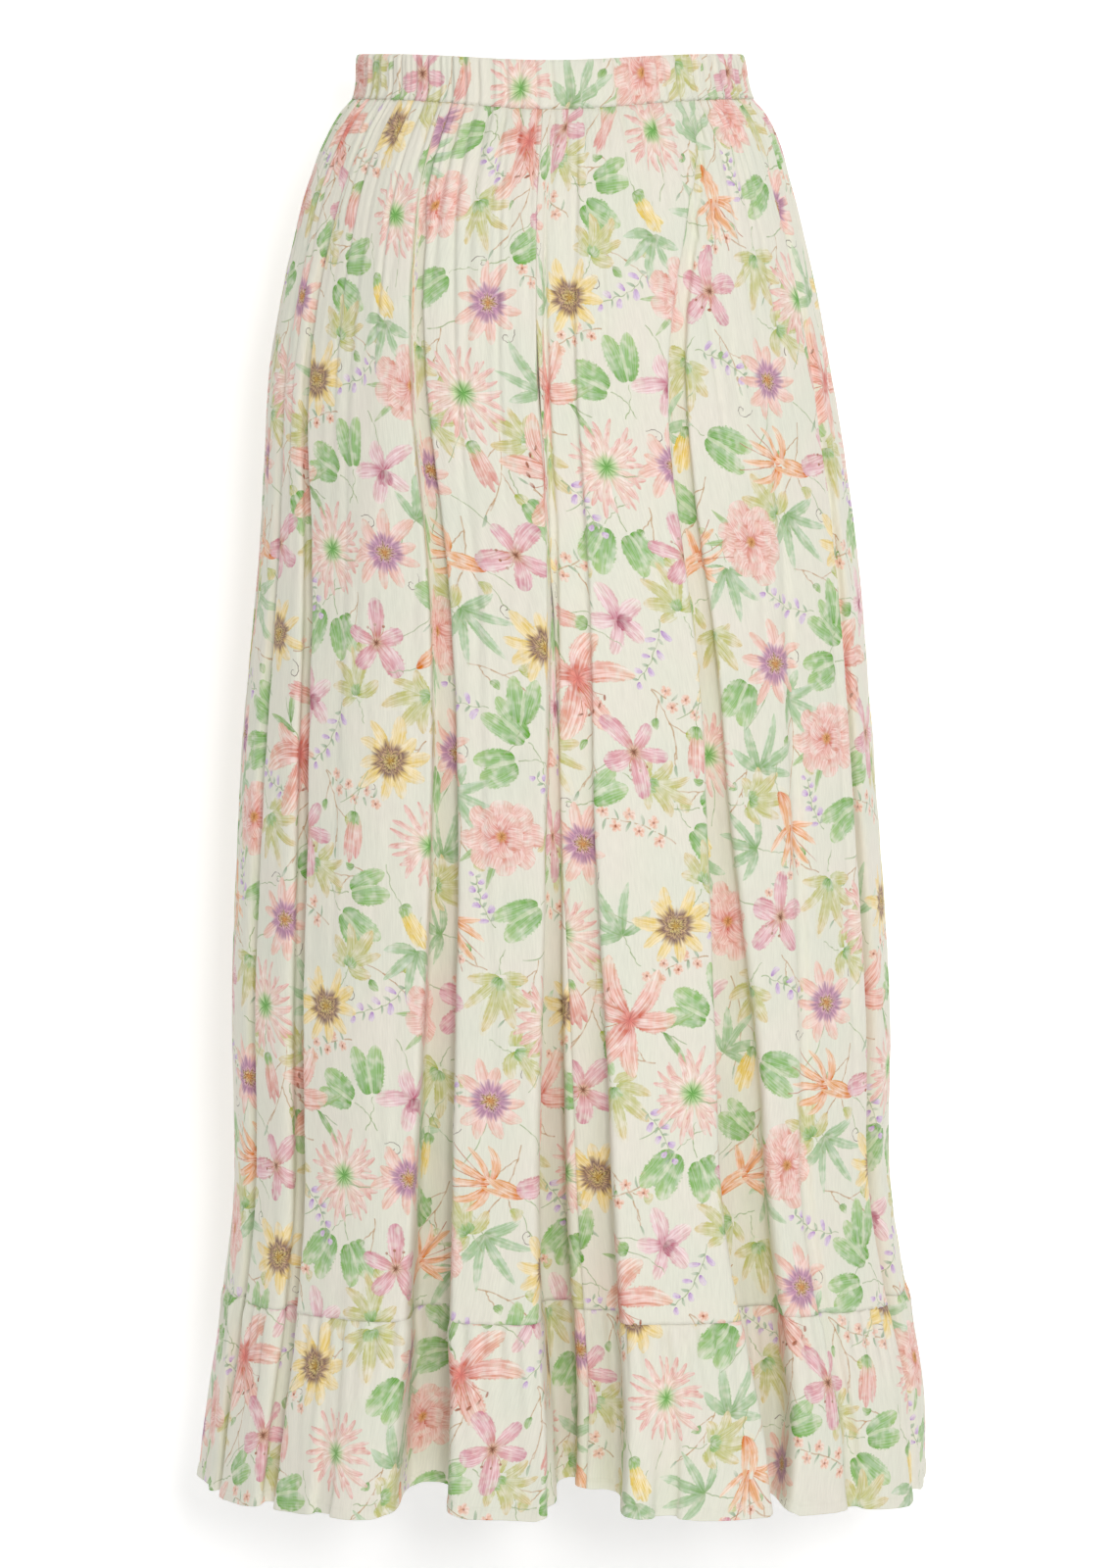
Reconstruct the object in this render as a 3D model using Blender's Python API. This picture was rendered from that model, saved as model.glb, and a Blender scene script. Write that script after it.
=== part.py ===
"""Wrap skirt: a long gathered skirt with a closed elastic waistband and a hem frill.

The back faces -Y, the wrap closes over the front at +Y, and the origin is the middle
of the waist. Every cloth piece is a wall between two surfaces of one shape function:
an oval that widens from waist to hem, with hand-placed folds and gathers pressed in.
A place on the cloth is an angle in degrees, 0 at the centre back and 90 at the +X side
seam, and a drop in metres below the middle of the waistband.
"""
from collections import namedtuple

import bmesh
import bpy
import numpy as np

# Lengths of the garment, in metres
BAND_TOP = -0.0165
BAND_SEAM = 0.0145
FRILL_SEAM = 0.8505
HEM = 0.985
SEAM_GAP = 0.0003
CLOTH_WALL = 0.0016
BAND_WALL = 0.0030
MEAN_RADIUS = 0.2

# The under front lies this far inside the over front, at the waist and at the hem
LAP_AT_WAIST = 0.0032
LAP_AT_HEM = 0.0065

# Angles of the cut edges, in degrees round from the centre back
SIDE_SEAM = 90.0
OVER_FRONT_EDGE = 204.75
UNDER_FRONT_EDGE = 159.75
FULL_TURN = 360.0
LAP_STARTS = 224.0
LAP_FULL = 209.0

# The centre back seam wanders from one side of the middle to the other
BACK_SEAM_AT_WAIST = -3.0
BACK_SEAM_AT_HEM = 3.0

# The waist dips at the centre back and sits lower at the front
BACK_DIP_SPREAD = 32.0
FRONT_DROP = 0.012
WAIST_LINE_FADES = 0.30

# Gathers: one ridge and one valley to each pair of columns
GATHERS = 80
COLUMN = FULL_TURN / (2 * GATHERS)
BAND_GATHER = 0.0007
WAIST_GATHER = 0.0021
WAIST_GATHER_FADES = 0.055
FRILL_GATHER = 0.0010
FRILL_GATHER_FADES = 0.030

# Rows of faces down each piece, closer together near the top of the body
BAND_ROWS = 2
BODY_ROWS = 9
BODY_ROW_GROWTH = 1.45
FRILL_ROWS = 3

# The oval at a drop: half its width, half its depth, and how far it hangs to +X
Section = namedtuple("Section", "drop half_width half_depth aside")
SECTIONS = (
    Section(-0.018, 0.1340, 0.100, 0.0000),
    Section(0.013, 0.1385, 0.103, 0.0020),
    Section(0.034, 0.1520, 0.115, 0.0020),
    Section(0.075, 0.1690, 0.130, 0.0000),
    Section(0.116, 0.1800, 0.139, 0.0000),
    Section(0.198, 0.1960, 0.150, 0.0010),
    Section(0.323, 0.2100, 0.158, 0.0065),
    Section(0.490, 0.2250, 0.164, 0.0068),
    Section(0.659, 0.2345, 0.168, 0.0088),
    Section(0.786, 0.2355, 0.171, 0.0100),
    Section(0.851, 0.2440, 0.176, 0.0120),
    Section(0.922, 0.2560, 0.183, 0.0140),
    Section(0.985, 0.2600, 0.188, 0.0115),
)

# Folds: angles, spans in degrees and depths in millimetres at five levels. Floor is the
# flat share of the span, and lean above zero makes the wall on the +angle side steeper.
LEVELS = (0.016, 0.150, 0.450, 0.851, 0.985)
Fold = namedtuple("Fold", "name angles spans depths floor lean")
FOLDS = (
    Fold("left side", (-70, -72, -71, -73, -76), (4, 6, 8, 9, 9), (0, 2, 8, 10, 12), 0.1, 0.3),
    Fold("left", (-58, -61, -55, -55, -56), (4, 6, 8, 9, 8), (0, 7, 15, 18, 14), 0.1, 0.6),
    Fold("left of back", (-32, -29, -21, -23, -23), (3, 4, 6, 9, 9.5), (1, 8, 18, 50, 72), 0.5, 0.0),
    Fold("back", (3, 2, 2, 2.4, 3.6), (10, 8, 9, 15, 12), (1, 5, 10, 45, 62), 0.7, -0.1),
    Fold("back deep", (-2, -1.5, -1.2, -1.6, 0), (3, 3, 3, 7, 5), (0, 3, 6, 28, 26), 0.5, -0.2),
    Fold("right of back", (44, 29, 29, 35, 35.6), (3, 5, 6, 12.5, 4.5), (1, 8, 17, 39, 45), 0.5, -0.5),
    Fold("right", (66, 68, 67, 72, 73), (4, 7, 9, 13, 12), (0, 6, 14, 36, 42), 0.5, -0.4),
    Fold("right crease", (50, 49, 47, 48, 52), (3, 4, 5, 6, 7), (0, 1, 4, 6, 8), 0.0, 0.0),
    Fold("hem ripple right", (15, 15, 15, 15, 15), (5, 5, 5, 5, 8), (0, 0, 0, 1, 9), 0.0, 0.2),
    Fold("hem ripple left", (-40, -40, -40, -40, -40), (5, 5, 5, 6, 9), (0, 0, 0, 2, 9), 0.0, -0.2),
    Fold("right of side", (104, 102, 103, 102, 101), (4, 6, 8, 10, 9), (0, 5, 12, 30, 42), 0.3, 0.3),
    Fold("front right", (125, 122, 121, 122, 123), (4, 6, 8, 10, 10), (0, 7, 16, 34, 50), 0.2, -0.3),
    Fold("front right crease", (143, 143, 144, 143, 144), (4, 5, 8, 10, 11), (0, 3, 8, 10, 16), 0.0, 0.0),
    Fold("over front soft", (168, 167, 166, 168, 168), (5, 9, 14, 16, 16), (0, 3, 8, 12, 15), 0.0, 0.0),
    Fold("over front soft edge", (190, 190, 188, 188, 189), (5, 8, 13, 15, 15), (0, 2, 7, 10, 13), 0.0, 0.0),
    Fold("under front", (226, 228, 230, 230, 230), (4, 6, 9, 10, 10), (0, 6, 14, 30, 44), 0.2, 0.3),
    Fold("left front", (246, 247, 247, 249, 250), (4, 6, 8, 10, 10), (0, 6, 14, 34, 46), 0.2, -0.3),
    Fold("left front crease", (258, 260, 262, 263, 262), (3, 5, 6, 6, 6), (0, 2, 6, 8, 10), 0.0, 0.0),
)

# At the same five levels: how much a fold lifts its own hem, as a share of its depth,
# and how far the cloth hangs lower at the two sides, in millimetres
FOLD_LIFT = (0.0, 0.0, 0.0, 0.05, 0.13)
SIDE_DROP = (0.0, 0.0, 0.0, 9.0, 17.0)

# Slow waves round the cloth: how many, and their height in millimetres at each level
Wave = namedtuple("Wave", "count heights phase")
WAVES = (
    Wave(7, (0, 0.8, 1.5, 2.0, 3.5), 0.4),
    Wave(11, (0, 0.8, 1.2, 1.5, 3.5), 1.9),
    Wave(18, (0, 0.4, 0.6, 0.8, 2.2), 0.7),
)

# Linear colours and roughness of the printed crepe
CREAM = (0.83, 0.80, 0.69, 1.0)
BLUSH = (0.80, 0.66, 0.58, 1.0)
LEAF = (0.66, 0.74, 0.55, 1.0)
CREPE_ROUGHNESS = 0.85


def curve_through(place, places, values):
    """A smooth curve through a table's rows, read at each place."""
    places = np.asarray(places, dtype=float)
    values = np.asarray(values, dtype=float)
    slopes = np.gradient(values, places)
    row = np.clip(np.searchsorted(places, place) - 1, 0, len(places) - 2)
    step = places[row + 1] - places[row]
    part = np.clip((place - places[row]) / step, 0.0, 1.0)
    rest = 1.0 - part
    start = values[row] * (1 + 2 * part) * rest**2 + slopes[row] * step * part * rest**2
    end = values[row + 1] * (3 - 2 * part) * part**2 - slopes[row + 1] * step * rest * part**2
    return start + end


def ease(share):
    """0 below 0, 1 above 1, and a smooth step between."""
    share = np.clip(share, 0.0, 1.0)
    return share * share * (3.0 - 2.0 * share)


def fold_depth(angle, drop):
    """How far the big folds press the cloth in, in metres."""
    depth = np.zeros(np.shape(angle))
    for fold in FOLDS:
        middle = curve_through(drop, LEVELS, fold.angles)
        span = curve_through(drop, LEVELS, fold.spans)
        deep = np.maximum(curve_through(drop, LEVELS, fold.depths), 0.0) / 1000.0
        across = (angle - middle) / span + 0.5
        low_wall = (1.0 - fold.floor) * (1.0 + fold.lean) / 2.0
        high_wall = (1.0 - fold.floor) * (1.0 - fold.lean) / 2.0
        depth += deep * ease(across / low_wall) * ease((1.0 - across) / high_wall)
    return depth


def gather_height(angle, drop):
    """Fine gathers of the casing, below the waist seam and below the frill seam."""
    uneven = 0.8 + 0.25 * np.sin(np.radians(angle * 5 + 40)) + 0.2 * np.sin(np.radians(angle * 13))
    below_waist = WAIST_GATHER * np.exp(-(drop - BAND_SEAM) / WAIST_GATHER_FADES)
    below_frill_seam = FRILL_GATHER * np.exp(-(drop - FRILL_SEAM) / FRILL_GATHER_FADES)
    height = np.where(drop < BAND_SEAM, BAND_GATHER, below_waist)
    height = height + np.where(drop > FRILL_SEAM, below_frill_seam, 0.0)
    return height * uneven * np.cos(np.radians(angle * GATHERS))


def wave_height(angle, drop):
    """Slow swells between the folds, deeper towards the hem."""
    height = np.zeros(np.shape(angle))
    for wave in WAVES:
        size = curve_through(drop, LEVELS, wave.heights) / 1000.0
        height += size * np.sin(np.radians(angle * wave.count) + wave.phase)
    return height


def waist_line(angle, drop):
    """How far the waist line sits below its level: a dip behind, and the front lower."""
    around = (angle + 180.0) % FULL_TURN - 180.0
    dip = curve_through(drop, (-0.018, 0.0145, 0.12, WAIST_LINE_FADES), (0.0045, 0.007, 0.003, 0.0))
    behind = dip * np.exp(-((around / BACK_DIP_SPREAD) ** 2))
    front = np.maximum(-np.cos(np.radians(angle)), 0.0) ** 2
    fade = 1.0 - ease((drop - BAND_SEAM) / (WAIST_LINE_FADES - BAND_SEAM))
    return behind + FRONT_DROP * front * fade


def side_drop(angle, drop):
    """The hem hangs lower at the two sides."""
    lower = curve_through(drop, LEVELS, SIDE_DROP) / 1000.0
    return lower * np.sin(np.radians(angle)) ** 2


def lap(angle, drop):
    """How far the under front steps in to pass beneath the over front."""
    inwards = LAP_AT_WAIST + (LAP_AT_HEM - LAP_AT_WAIST) * ease(drop / HEM)
    return inwards * ease((LAP_STARTS - angle) / (LAP_STARTS - LAP_FULL))


def middle_drift(angle, drop):
    """The back cloth shifts sideways with its centre seam, and the side seams stay."""
    seam = BACK_SEAM_AT_WAIST + (BACK_SEAM_AT_HEM - BACK_SEAM_AT_WAIST) * ease(drop / HEM)
    return seam * np.maximum(1.0 - np.abs(angle) / SIDE_SEAM, 0.0)


def press_angle(angle):
    """The way folds press in: square to the sides, and nearly straight back elsewhere."""
    from_middle = (angle + SIDE_SEAM) % 180.0 - SIDE_SEAM
    return angle - from_middle + SIDE_SEAM * np.sign(from_middle) * (from_middle / SIDE_SEAM) ** 2


def outer_surface(angle, drop, under):
    """Points of the cloth's outer surface, with under true for the panel beneath."""
    turned = angle + middle_drift(angle, drop)
    drops = [section.drop for section in SECTIONS]
    half_width = curve_through(drop, drops, [section.half_width for section in SECTIONS])
    half_depth = curve_through(drop, drops, [section.half_depth for section in SECTIONS])
    aside = curve_through(drop, drops, [section.aside for section in SECTIONS])
    sine = np.sin(np.radians(turned))
    cosine = np.cos(np.radians(turned))
    pressed = fold_depth(turned, drop)
    press = np.radians(press_angle(turned))
    outwards = gather_height(angle, drop) + wave_height(turned, drop)
    if under:
        outwards = outwards - lap(angle, drop)
    length = np.hypot(half_depth * sine, half_width * cosine)
    across = half_width * sine + aside + outwards * half_depth * sine / length
    across = across - pressed * np.sin(press)
    along = -half_depth * cosine - outwards * half_width * cosine / length
    along = along + pressed * np.cos(press)
    height = pressed * curve_through(drop, LEVELS, FOLD_LIFT) - drop
    height = height - waist_line(turned, drop) - side_drop(turned, drop)
    return np.stack((across, along, height), axis=-1)


def inner_surface(angle, drop, under, wall):
    """The outer surface moved in level by the wall's thickness, square to its outline."""
    outer = outer_surface(angle, drop, under)
    around = outer_surface(angle + COLUMN, drop, under) - outer_surface(angle - COLUMN, drop, under)
    length = np.hypot(around[..., 0], around[..., 1])
    inner = outer.copy()
    inner[..., 0] -= wall * around[..., 1] / length
    inner[..., 1] += wall * around[..., 0] / length
    return inner


def even_rows(top, bottom, count, growth):
    """Drops of the rows of a piece, which grow apart downwards."""
    return top + (bottom - top) * (np.arange(count + 1) / count) ** growth


def cloth_piece(name, colour, angles, drops, wall, under=False, ring=False):
    """One cut piece as a closed wall over a grid of the given angles and drops."""
    columns = len(angles) - 1
    rows = len(drops) - 1
    shape = bmesh.new()
    bmesh.ops.create_grid(shape, x_segments=columns, y_segments=rows, size=0.5)
    grown = bmesh.ops.extrude_face_region(shape, geom=shape.faces[:])
    inside = {item for item in grown["geom"] if isinstance(item, bmesh.types.BMVert)}
    if ring:
        ends = [face for face in shape.faces if len({round(v.co.x * columns) for v in face.verts}) == 1]
        bmesh.ops.delete(shape, geom=ends, context="FACES_ONLY")
    verts = list(shape.verts)
    column = np.array([round((vert.co.x + 0.5) * columns) for vert in verts])
    row = np.array([round((0.5 - vert.co.y) * rows) for vert in verts])
    outer = outer_surface(angles[column], drops[row], under)
    inner = inner_surface(angles[column], drops[row], under, wall)
    for number, vert in enumerate(verts):
        vert.co = inner[number] if vert in inside else outer[number]
    if ring:
        bmesh.ops.remove_doubles(shape, verts=shape.verts[:], dist=SEAM_GAP / 10)
    bmesh.ops.recalc_face_normals(shape, faces=shape.faces[:])
    mesh = bpy.data.meshes.new(name)
    shape.to_mesh(mesh)
    shape.free()
    mesh.shade_smooth()
    mesh.materials.append(printed_crepe(name, colour))
    piece = bpy.data.objects.new(name, mesh)
    bpy.context.scene.collection.objects.link(piece)
    return piece


def printed_crepe(name, colour):
    """The cloth's material: pale printed crepe, matt."""
    material = bpy.data.materials.new(name + "_crepe")
    material.use_nodes = True
    shader = material.node_tree.nodes["Principled BSDF"]
    shader.inputs["Base Color"].default_value = colour
    shader.inputs["Roughness"].default_value = CREPE_ROUGHNESS
    shader.inputs["Metallic"].default_value = 0.0
    return material


def columns_between(start, end):
    """Angles of the columns of a piece, its ends drawn in by half a seam gap."""
    count = round((end - start) / COLUMN)
    angles = np.linspace(start, end, count + 1)
    half_gap = np.degrees(SEAM_GAP / 2 / MEAN_RADIUS)
    angles[0] += half_gap
    angles[-1] -= half_gap
    return angles


def build_waistband():
    """Closed elastic casing round the whole waist."""
    around = np.linspace(-SIDE_SEAM, FULL_TURN - SIDE_SEAM, 2 * GATHERS + 1)
    drops = even_rows(BAND_TOP, BAND_SEAM - SEAM_GAP / 2, BAND_ROWS, 1.0)
    cloth_piece("waistband", CREAM, around, drops, BAND_WALL, ring=True)


def build_panels():
    """Two backs joined at the centre, and the two fronts that wrap over each other."""
    cuts = (
        ("back_left", -SIDE_SEAM, 0.0, False, CREAM),
        ("back_right", 0.0, SIDE_SEAM, False, BLUSH),
        ("front_over", SIDE_SEAM, OVER_FRONT_EDGE, False, LEAF),
        ("front_under", UNDER_FRONT_EDGE, FULL_TURN - SIDE_SEAM, True, CREAM),
    )
    body_drops = even_rows(BAND_SEAM + SEAM_GAP / 2, FRILL_SEAM - SEAM_GAP / 2, BODY_ROWS, BODY_ROW_GROWTH)
    frill_drops = even_rows(FRILL_SEAM + SEAM_GAP / 2, HEM, FRILL_ROWS, 1.0)
    for name, start, end, under, colour in cuts:
        angles = columns_between(start, end)
        cloth_piece(name, colour, angles, body_drops, CLOTH_WALL, under)
        cloth_piece("frill_" + name, colour, angles, frill_drops, CLOTH_WALL, under)


for old in list(bpy.data.objects):
    bpy.data.objects.remove(old, do_unlink=True)
build_waistband()
build_panels()
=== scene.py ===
"""Looks of the wrap skirt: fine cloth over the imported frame, its painted print and the studio.

A place on the cloth is an angle in degrees, 0 at the centre back and 90 at the +X side seam,
and a drop in metres below the middle of the waistband, as in the part's source.
"""

import math
from collections import namedtuple
from functools import partial

import bmesh
import bpy
import numpy as np
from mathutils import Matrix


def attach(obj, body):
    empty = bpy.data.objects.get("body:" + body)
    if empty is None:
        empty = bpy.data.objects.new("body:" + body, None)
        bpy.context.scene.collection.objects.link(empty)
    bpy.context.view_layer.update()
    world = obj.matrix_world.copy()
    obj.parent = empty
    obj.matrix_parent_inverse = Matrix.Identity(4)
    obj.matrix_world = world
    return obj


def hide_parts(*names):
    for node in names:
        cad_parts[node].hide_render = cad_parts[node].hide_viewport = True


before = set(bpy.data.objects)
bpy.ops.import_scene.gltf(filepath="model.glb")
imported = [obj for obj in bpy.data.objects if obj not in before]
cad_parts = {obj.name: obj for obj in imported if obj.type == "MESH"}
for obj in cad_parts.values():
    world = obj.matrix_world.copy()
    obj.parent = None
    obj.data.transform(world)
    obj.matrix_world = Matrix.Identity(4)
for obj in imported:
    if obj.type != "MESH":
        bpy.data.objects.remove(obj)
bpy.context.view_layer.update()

MM = 1000.0

# Lengths of the garment in metres, the same as in the part's source
BAND_TOP = -0.0165
BAND_SEAM = 0.0145
FRILL_SEAM = 0.8505
HEM = 0.985
SIDE_SEAM = 90.0
OVER_FRONT_EDGE = 204.75
UNDER_FRONT_EDGE = 159.75
FULL_TURN = 360.0
LAP_STARTS = 224.0
LAP_FULL = 209.0
LAP_AT_WAIST = 0.0032
LAP_AT_HEM = 0.0065
BACK_SEAM_AT_WAIST = -3.0
BACK_SEAM_AT_HEM = 3.0

# The waist line dips behind: drops, and how far it dips there; it is lower in front
WAIST_LINE_FADES = 0.30
WAIST_DIPS = ((-0.018, 0.0145, 0.12, WAIST_LINE_FADES), (0.0045, 0.007, 0.003, 0.0))
BACK_DIP_SPREAD = 32.0
FRONT_DROP = 0.012

# Walls of the cloth as it shows: one layer of crepe, and the casing with its elastic
CREPE_WALL = 0.0009
BAND_WALL = 0.0028

# A panel is cut this share as wide at the waist as at the frill, and its gathers hide cloth
# down to about the next drop. The casing is cut this many times the relaxed waist.
PANEL_TOP_SHARE = 0.78
GATHERS_HIDE_TO = 0.075
BAND_FULLNESS = 1.45

# Each piece is cut from its own place on the printed cloth, in millimetres across and
# down, so the print doesn't match at the seams
PRINT_SHIFT = {
    "waistband": (40.0, 90.0),
    "back_left": (0.0, 0.0),
    "back_right": (95.0, 60.0),
    "front_over": (210.0, 25.0),
    "front_under": (130.0, 300.0),
    "frill_back_left": (60.0, -850.0),
    "frill_back_right": (190.0, -810.0),
    "frill_front_over": (20.0, -700.0),
    "frill_front_under": (280.0, -630.0),
}

# Columns and rows of faces on each piece
BACK_GRID = (236, 204)
FRONT_GRID = (190, 160)
BAND_GRID = (640, 14)
FRILL_ROWS = 40
HEM_ROWS = 14
HEM_ROWS_START = 0.011

# The cut panels: their two edges, whether they lie beneath, and their grid
CUTS = (
    ("back_left", -SIDE_SEAM, 0.0, False, BACK_GRID),
    ("back_right", 0.0, SIDE_SEAM, False, BACK_GRID),
    ("front_over", SIDE_SEAM, OVER_FRONT_EDGE, False, FRONT_GRID),
    ("front_under", UNDER_FRONT_EDGE, FULL_TURN - SIDE_SEAM, True, FRONT_GRID),
)

# The oval at a drop: the drop, half its width, half its depth, how far it hangs to +X
SECTIONS = (
    (-0.018, 0.1340, 0.100, 0.0000),
    (0.013, 0.1385, 0.103, 0.0020),
    (0.034, 0.1520, 0.115, 0.0020),
    (0.075, 0.1690, 0.130, 0.0000),
    (0.116, 0.1800, 0.139, 0.0000),
    (0.198, 0.1960, 0.150, 0.0010),
    (0.323, 0.2100, 0.158, 0.0065),
    (0.490, 0.2250, 0.164, 0.0068),
    (0.659, 0.2345, 0.168, 0.0088),
    (0.786, 0.2355, 0.171, 0.0100),
    (0.851, 0.2440, 0.176, 0.0120),
    (0.922, 0.2560, 0.183, 0.0140),
    (0.985, 0.2600, 0.188, 0.0115),
)

# Folds: angles, spans in degrees and depths in millimetres at five levels. Floor is the
# flat share of the span, and lean above zero makes the wall on the +angle side steeper.
LEVELS = (0.016, 0.150, 0.450, 0.851, 0.985)
SEAM_LEVEL = 3
Fold = namedtuple("Fold", "angles spans depths floor lean")
FOLDS = [
    Fold(*row) for row in (
        ((-70, -72, -71, -73, -76), (4, 6, 8, 9, 9), (0, 2, 8, 10, 12), 0.1, 0.3),
        ((-58, -61, -55, -55, -56), (4, 6, 8, 9, 8), (0, 7, 15, 18, 14), 0.1, 0.6),
        ((-32, -29, -21, -23.4, -23.3), (3, 4, 6, 9.5, 11.2), (1, 8, 18, 48, 66), 0.6, 0.0),
        ((3, 2, 2, 2.4, 3.6), (10, 8, 9, 15, 12), (1, 5, 10, 45, 62), 0.7, -0.1),
        ((-2, -1.5, -1.2, -1.7, -0.6), (3, 3, 3, 7.4, 6.2), (0, 3, 6, 28, 26), 0.5, -0.2),
        ((44, 29, 29, 35, 35.6), (3, 5, 6, 12.5, 4.5), (1, 8, 17, 39, 45), 0.5, -0.5),
        ((66, 68, 67, 72, 73), (4, 7, 9, 13, 12), (0, 6, 14, 36, 42), 0.5, -0.4),
        ((50, 49, 47, 48, 52), (3, 4, 5, 6, 7), (0, 1, 4, 6, 8), 0.0, 0.0),
        ((15, 15, 15, 15, 15), (5, 5, 5, 5, 8), (0, 0, 0, 1, 9), 0.0, 0.2),
        ((-40, -40, -40, -40, -40), (5, 5, 5, 6, 9), (0, 0, 0, 2, 9), 0.0, -0.2),
        ((104, 102, 103, 102, 101), (4, 6, 8, 10, 9), (0, 5, 12, 30, 42), 0.3, 0.3),
        ((125, 122, 121, 122, 123), (4, 6, 8, 10, 10), (0, 7, 16, 34, 50), 0.2, -0.3),
        ((143, 143, 144, 143, 144), (4, 5, 8, 10, 11), (0, 3, 8, 10, 16), 0.0, 0.0),
        ((168, 167, 166, 168, 168), (5, 9, 14, 16, 16), (0, 3, 8, 12, 15), 0.0, 0.0),
        ((190, 190, 188, 188, 189), (5, 8, 13, 15, 15), (0, 2, 7, 10, 13), 0.0, 0.0),
        ((226, 228, 230, 230, 230), (4, 6, 9, 10, 10), (0, 6, 14, 30, 44), 0.2, 0.3),
        ((246, 247, 247, 249, 250), (4, 6, 8, 10, 10), (0, 6, 14, 34, 46), 0.2, -0.3),
        ((258, 260, 262, 263, 262), (3, 5, 6, 6, 6), (0, 2, 6, 8, 10), 0.0, 0.0),
    )
]

# Deep folds slide their walls this share of a wall's width, so that they hang past upright;
# a fold of the second value's depth, in metres, does so fully
WALL_TUCK = 0.27
TUCK_NEEDS = 0.016

# At the same five levels: the share of its depth by which a fold lifts its own hem, and
# how far the cloth hangs lower at the two sides, in millimetres. The lift is wider than
# the fold and slopes over the last share of its width.
FOLD_LIFT = (0.0, 0.0, 0.0, 0.05, 0.15)
SIDE_DROP = (0.0, 0.0, 0.0, 9.0, 17.0)
LIFT_SPREAD = 1.45
LIFT_WALL = 0.42

# Slow waves round the cloth: how many, their height in millimetres at each level, phase
WAVES = (
    (7, (0, 0.8, 1.5, 2.0, 3.5), 0.4),
    (11, (0, 0.8, 1.2, 1.5, 3.5), 1.9),
    (18, (0, 0.4, 0.6, 0.8, 2.2), 0.7),
)

# Gathers: how many go round and their seed. None has the same width, height or length.
GATHERS = 80
WAIST_GATHERS = (GATHERS, 11)
SMALL_GATHERS = (2 * GATHERS, 14)
FRILL_GATHERS = (1.5 * GATHERS, 12)

# Their heights, how far down they go and over what drop they open, in metres
WAIST_GATHER = 0.0028
SMALL_GATHER_SHARE = 0.4
BAND_GATHER = 0.0012
BAND_SMALL_GATHER = 0.0009
FRILL_GATHER = 0.0034
GATHER_LENGTH = 0.042
FRILL_GATHER_LENGTH = 0.038
GATHERS_OPEN = 0.010

# Unevenness round the cloth: how many knots it has and its seed
UNEVEN_HEIGHT = (90, 3)
UNEVEN_WAIST_LENGTH = (70, 5)
UNEVEN_FRILL_LENGTH = (80, 8)
UNEVEN_WIDTH_KNOTS = 44

# How much the gathers' heights and lengths vary, and the share of their height that they
# have where they are sewn down
HEIGHT_VARIES = 0.55
BAND_HEIGHT_VARIES = 0.35
LENGTH_VARIES = 0.7
WAIST_SEWN = 0.35
FRILL_SEWN = 0.3

# The crumple of the cloth: height in metres, knots round it and down it, and seed
CRUMPLES = ((0.00060, 200, 20, 21), (0.00024, 520, 90, 22))

# Creases laid in one by one: angle at the top and bottom, drops where they start and end,
# and their width and depth in millimetres. Each begins over a short drop, fades over the
# last part of its run, and has a shoulder of a share of its depth.
METRES_A_DEGREE = 0.0035
CREASE_BEGINS = 0.02
CREASE_FADES_FROM = 0.55
CREASE_SHOULDER = 0.6
CREASES = (
    (-79, -82, 0.05, 0.62, 7, 1.6), (-66, -64, 0.03, 0.36, 5, 1.3), (-50, -47, 0.02, 0.30, 5, 1.5),
    (-44, -43, 0.04, 0.66, 7, 1.1), (-38, -36, 0.02, 0.24, 4, 1.4), (-26, -27, 0.02, 0.22, 4, 1.5),
    (-21, -14, 0.02, 0.40, 5, 1.6), (-16, -12, 0.03, 0.85, 6, 0.9), (-9, -8, 0.02, 0.34, 4, 1.4),
    (9, 8, 0.02, 0.45, 5, 1.5), (14, 13, 0.02, 0.28, 4, 1.5), (19, 21, 0.03, 0.80, 6, 1.0),
    (24, 25, 0.02, 0.20, 4, 1.3), (36, 37, 0.02, 0.33, 5, 1.5), (41, 42, 0.05, 0.58, 6, 1.0),
    (55, 57, 0.02, 0.26, 4, 1.4), (61, 58, 0.35, 0.84, 7, 1.5), (80, 84, 0.03, 0.44, 6, 1.5),
    (95, 93, 0.02, 0.30, 5, 1.4), (112, 111, 0.03, 0.72, 7, 1.1), (118, 116, 0.02, 0.24, 4, 1.4),
    (134, 133, 0.02, 0.50, 6, 1.4), (152, 154, 0.03, 0.38, 6, 1.3), (160, 158, 0.10, 0.80, 8, 1.1),
    (177, 178, 0.02, 0.44, 6, 1.4), (184, 181, 0.12, 0.84, 8, 1.0), (198, 197, 0.02, 0.40, 5, 1.2),
    (212, 214, 0.02, 0.62, 7, 1.3), (220, 222, 0.03, 0.28, 5, 1.3), (238, 239, 0.02, 0.50, 6, 1.4),
    (253, 254, 0.02, 0.36, 5, 1.3), (266, 268, 0.04, 0.70, 6, 1.2),
)

# Seams and edges, in metres
SEAM_GROOVE = 0.0007
SEAM_WIDTH = 0.0016
SEAM_PUCKER = 0.0005
PUCKER_LENGTH = 0.007
HEM_TURN = 0.008
HEM_STEP = 0.0007
STITCH_GROOVE = 0.0005
STITCH_WIDTH = 0.0007
STITCH_INSET = 0.0015
TUCKED_IN = 0.0014
TUCK_SLOPE = 0.004
BAND_CROWN = 0.0016
FRILL_STEPS_IN = 0.0008
FRILL_STEP_LENGTH = 0.005

# The camera stands where the photograph's did, in metres
CAMERA_PLACE = (0.007, -4.0, -0.02)
CAMERA_AIM = (0.007, 0.0, -0.497)
LENS = 130.36
SENSOR = 36.0

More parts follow.
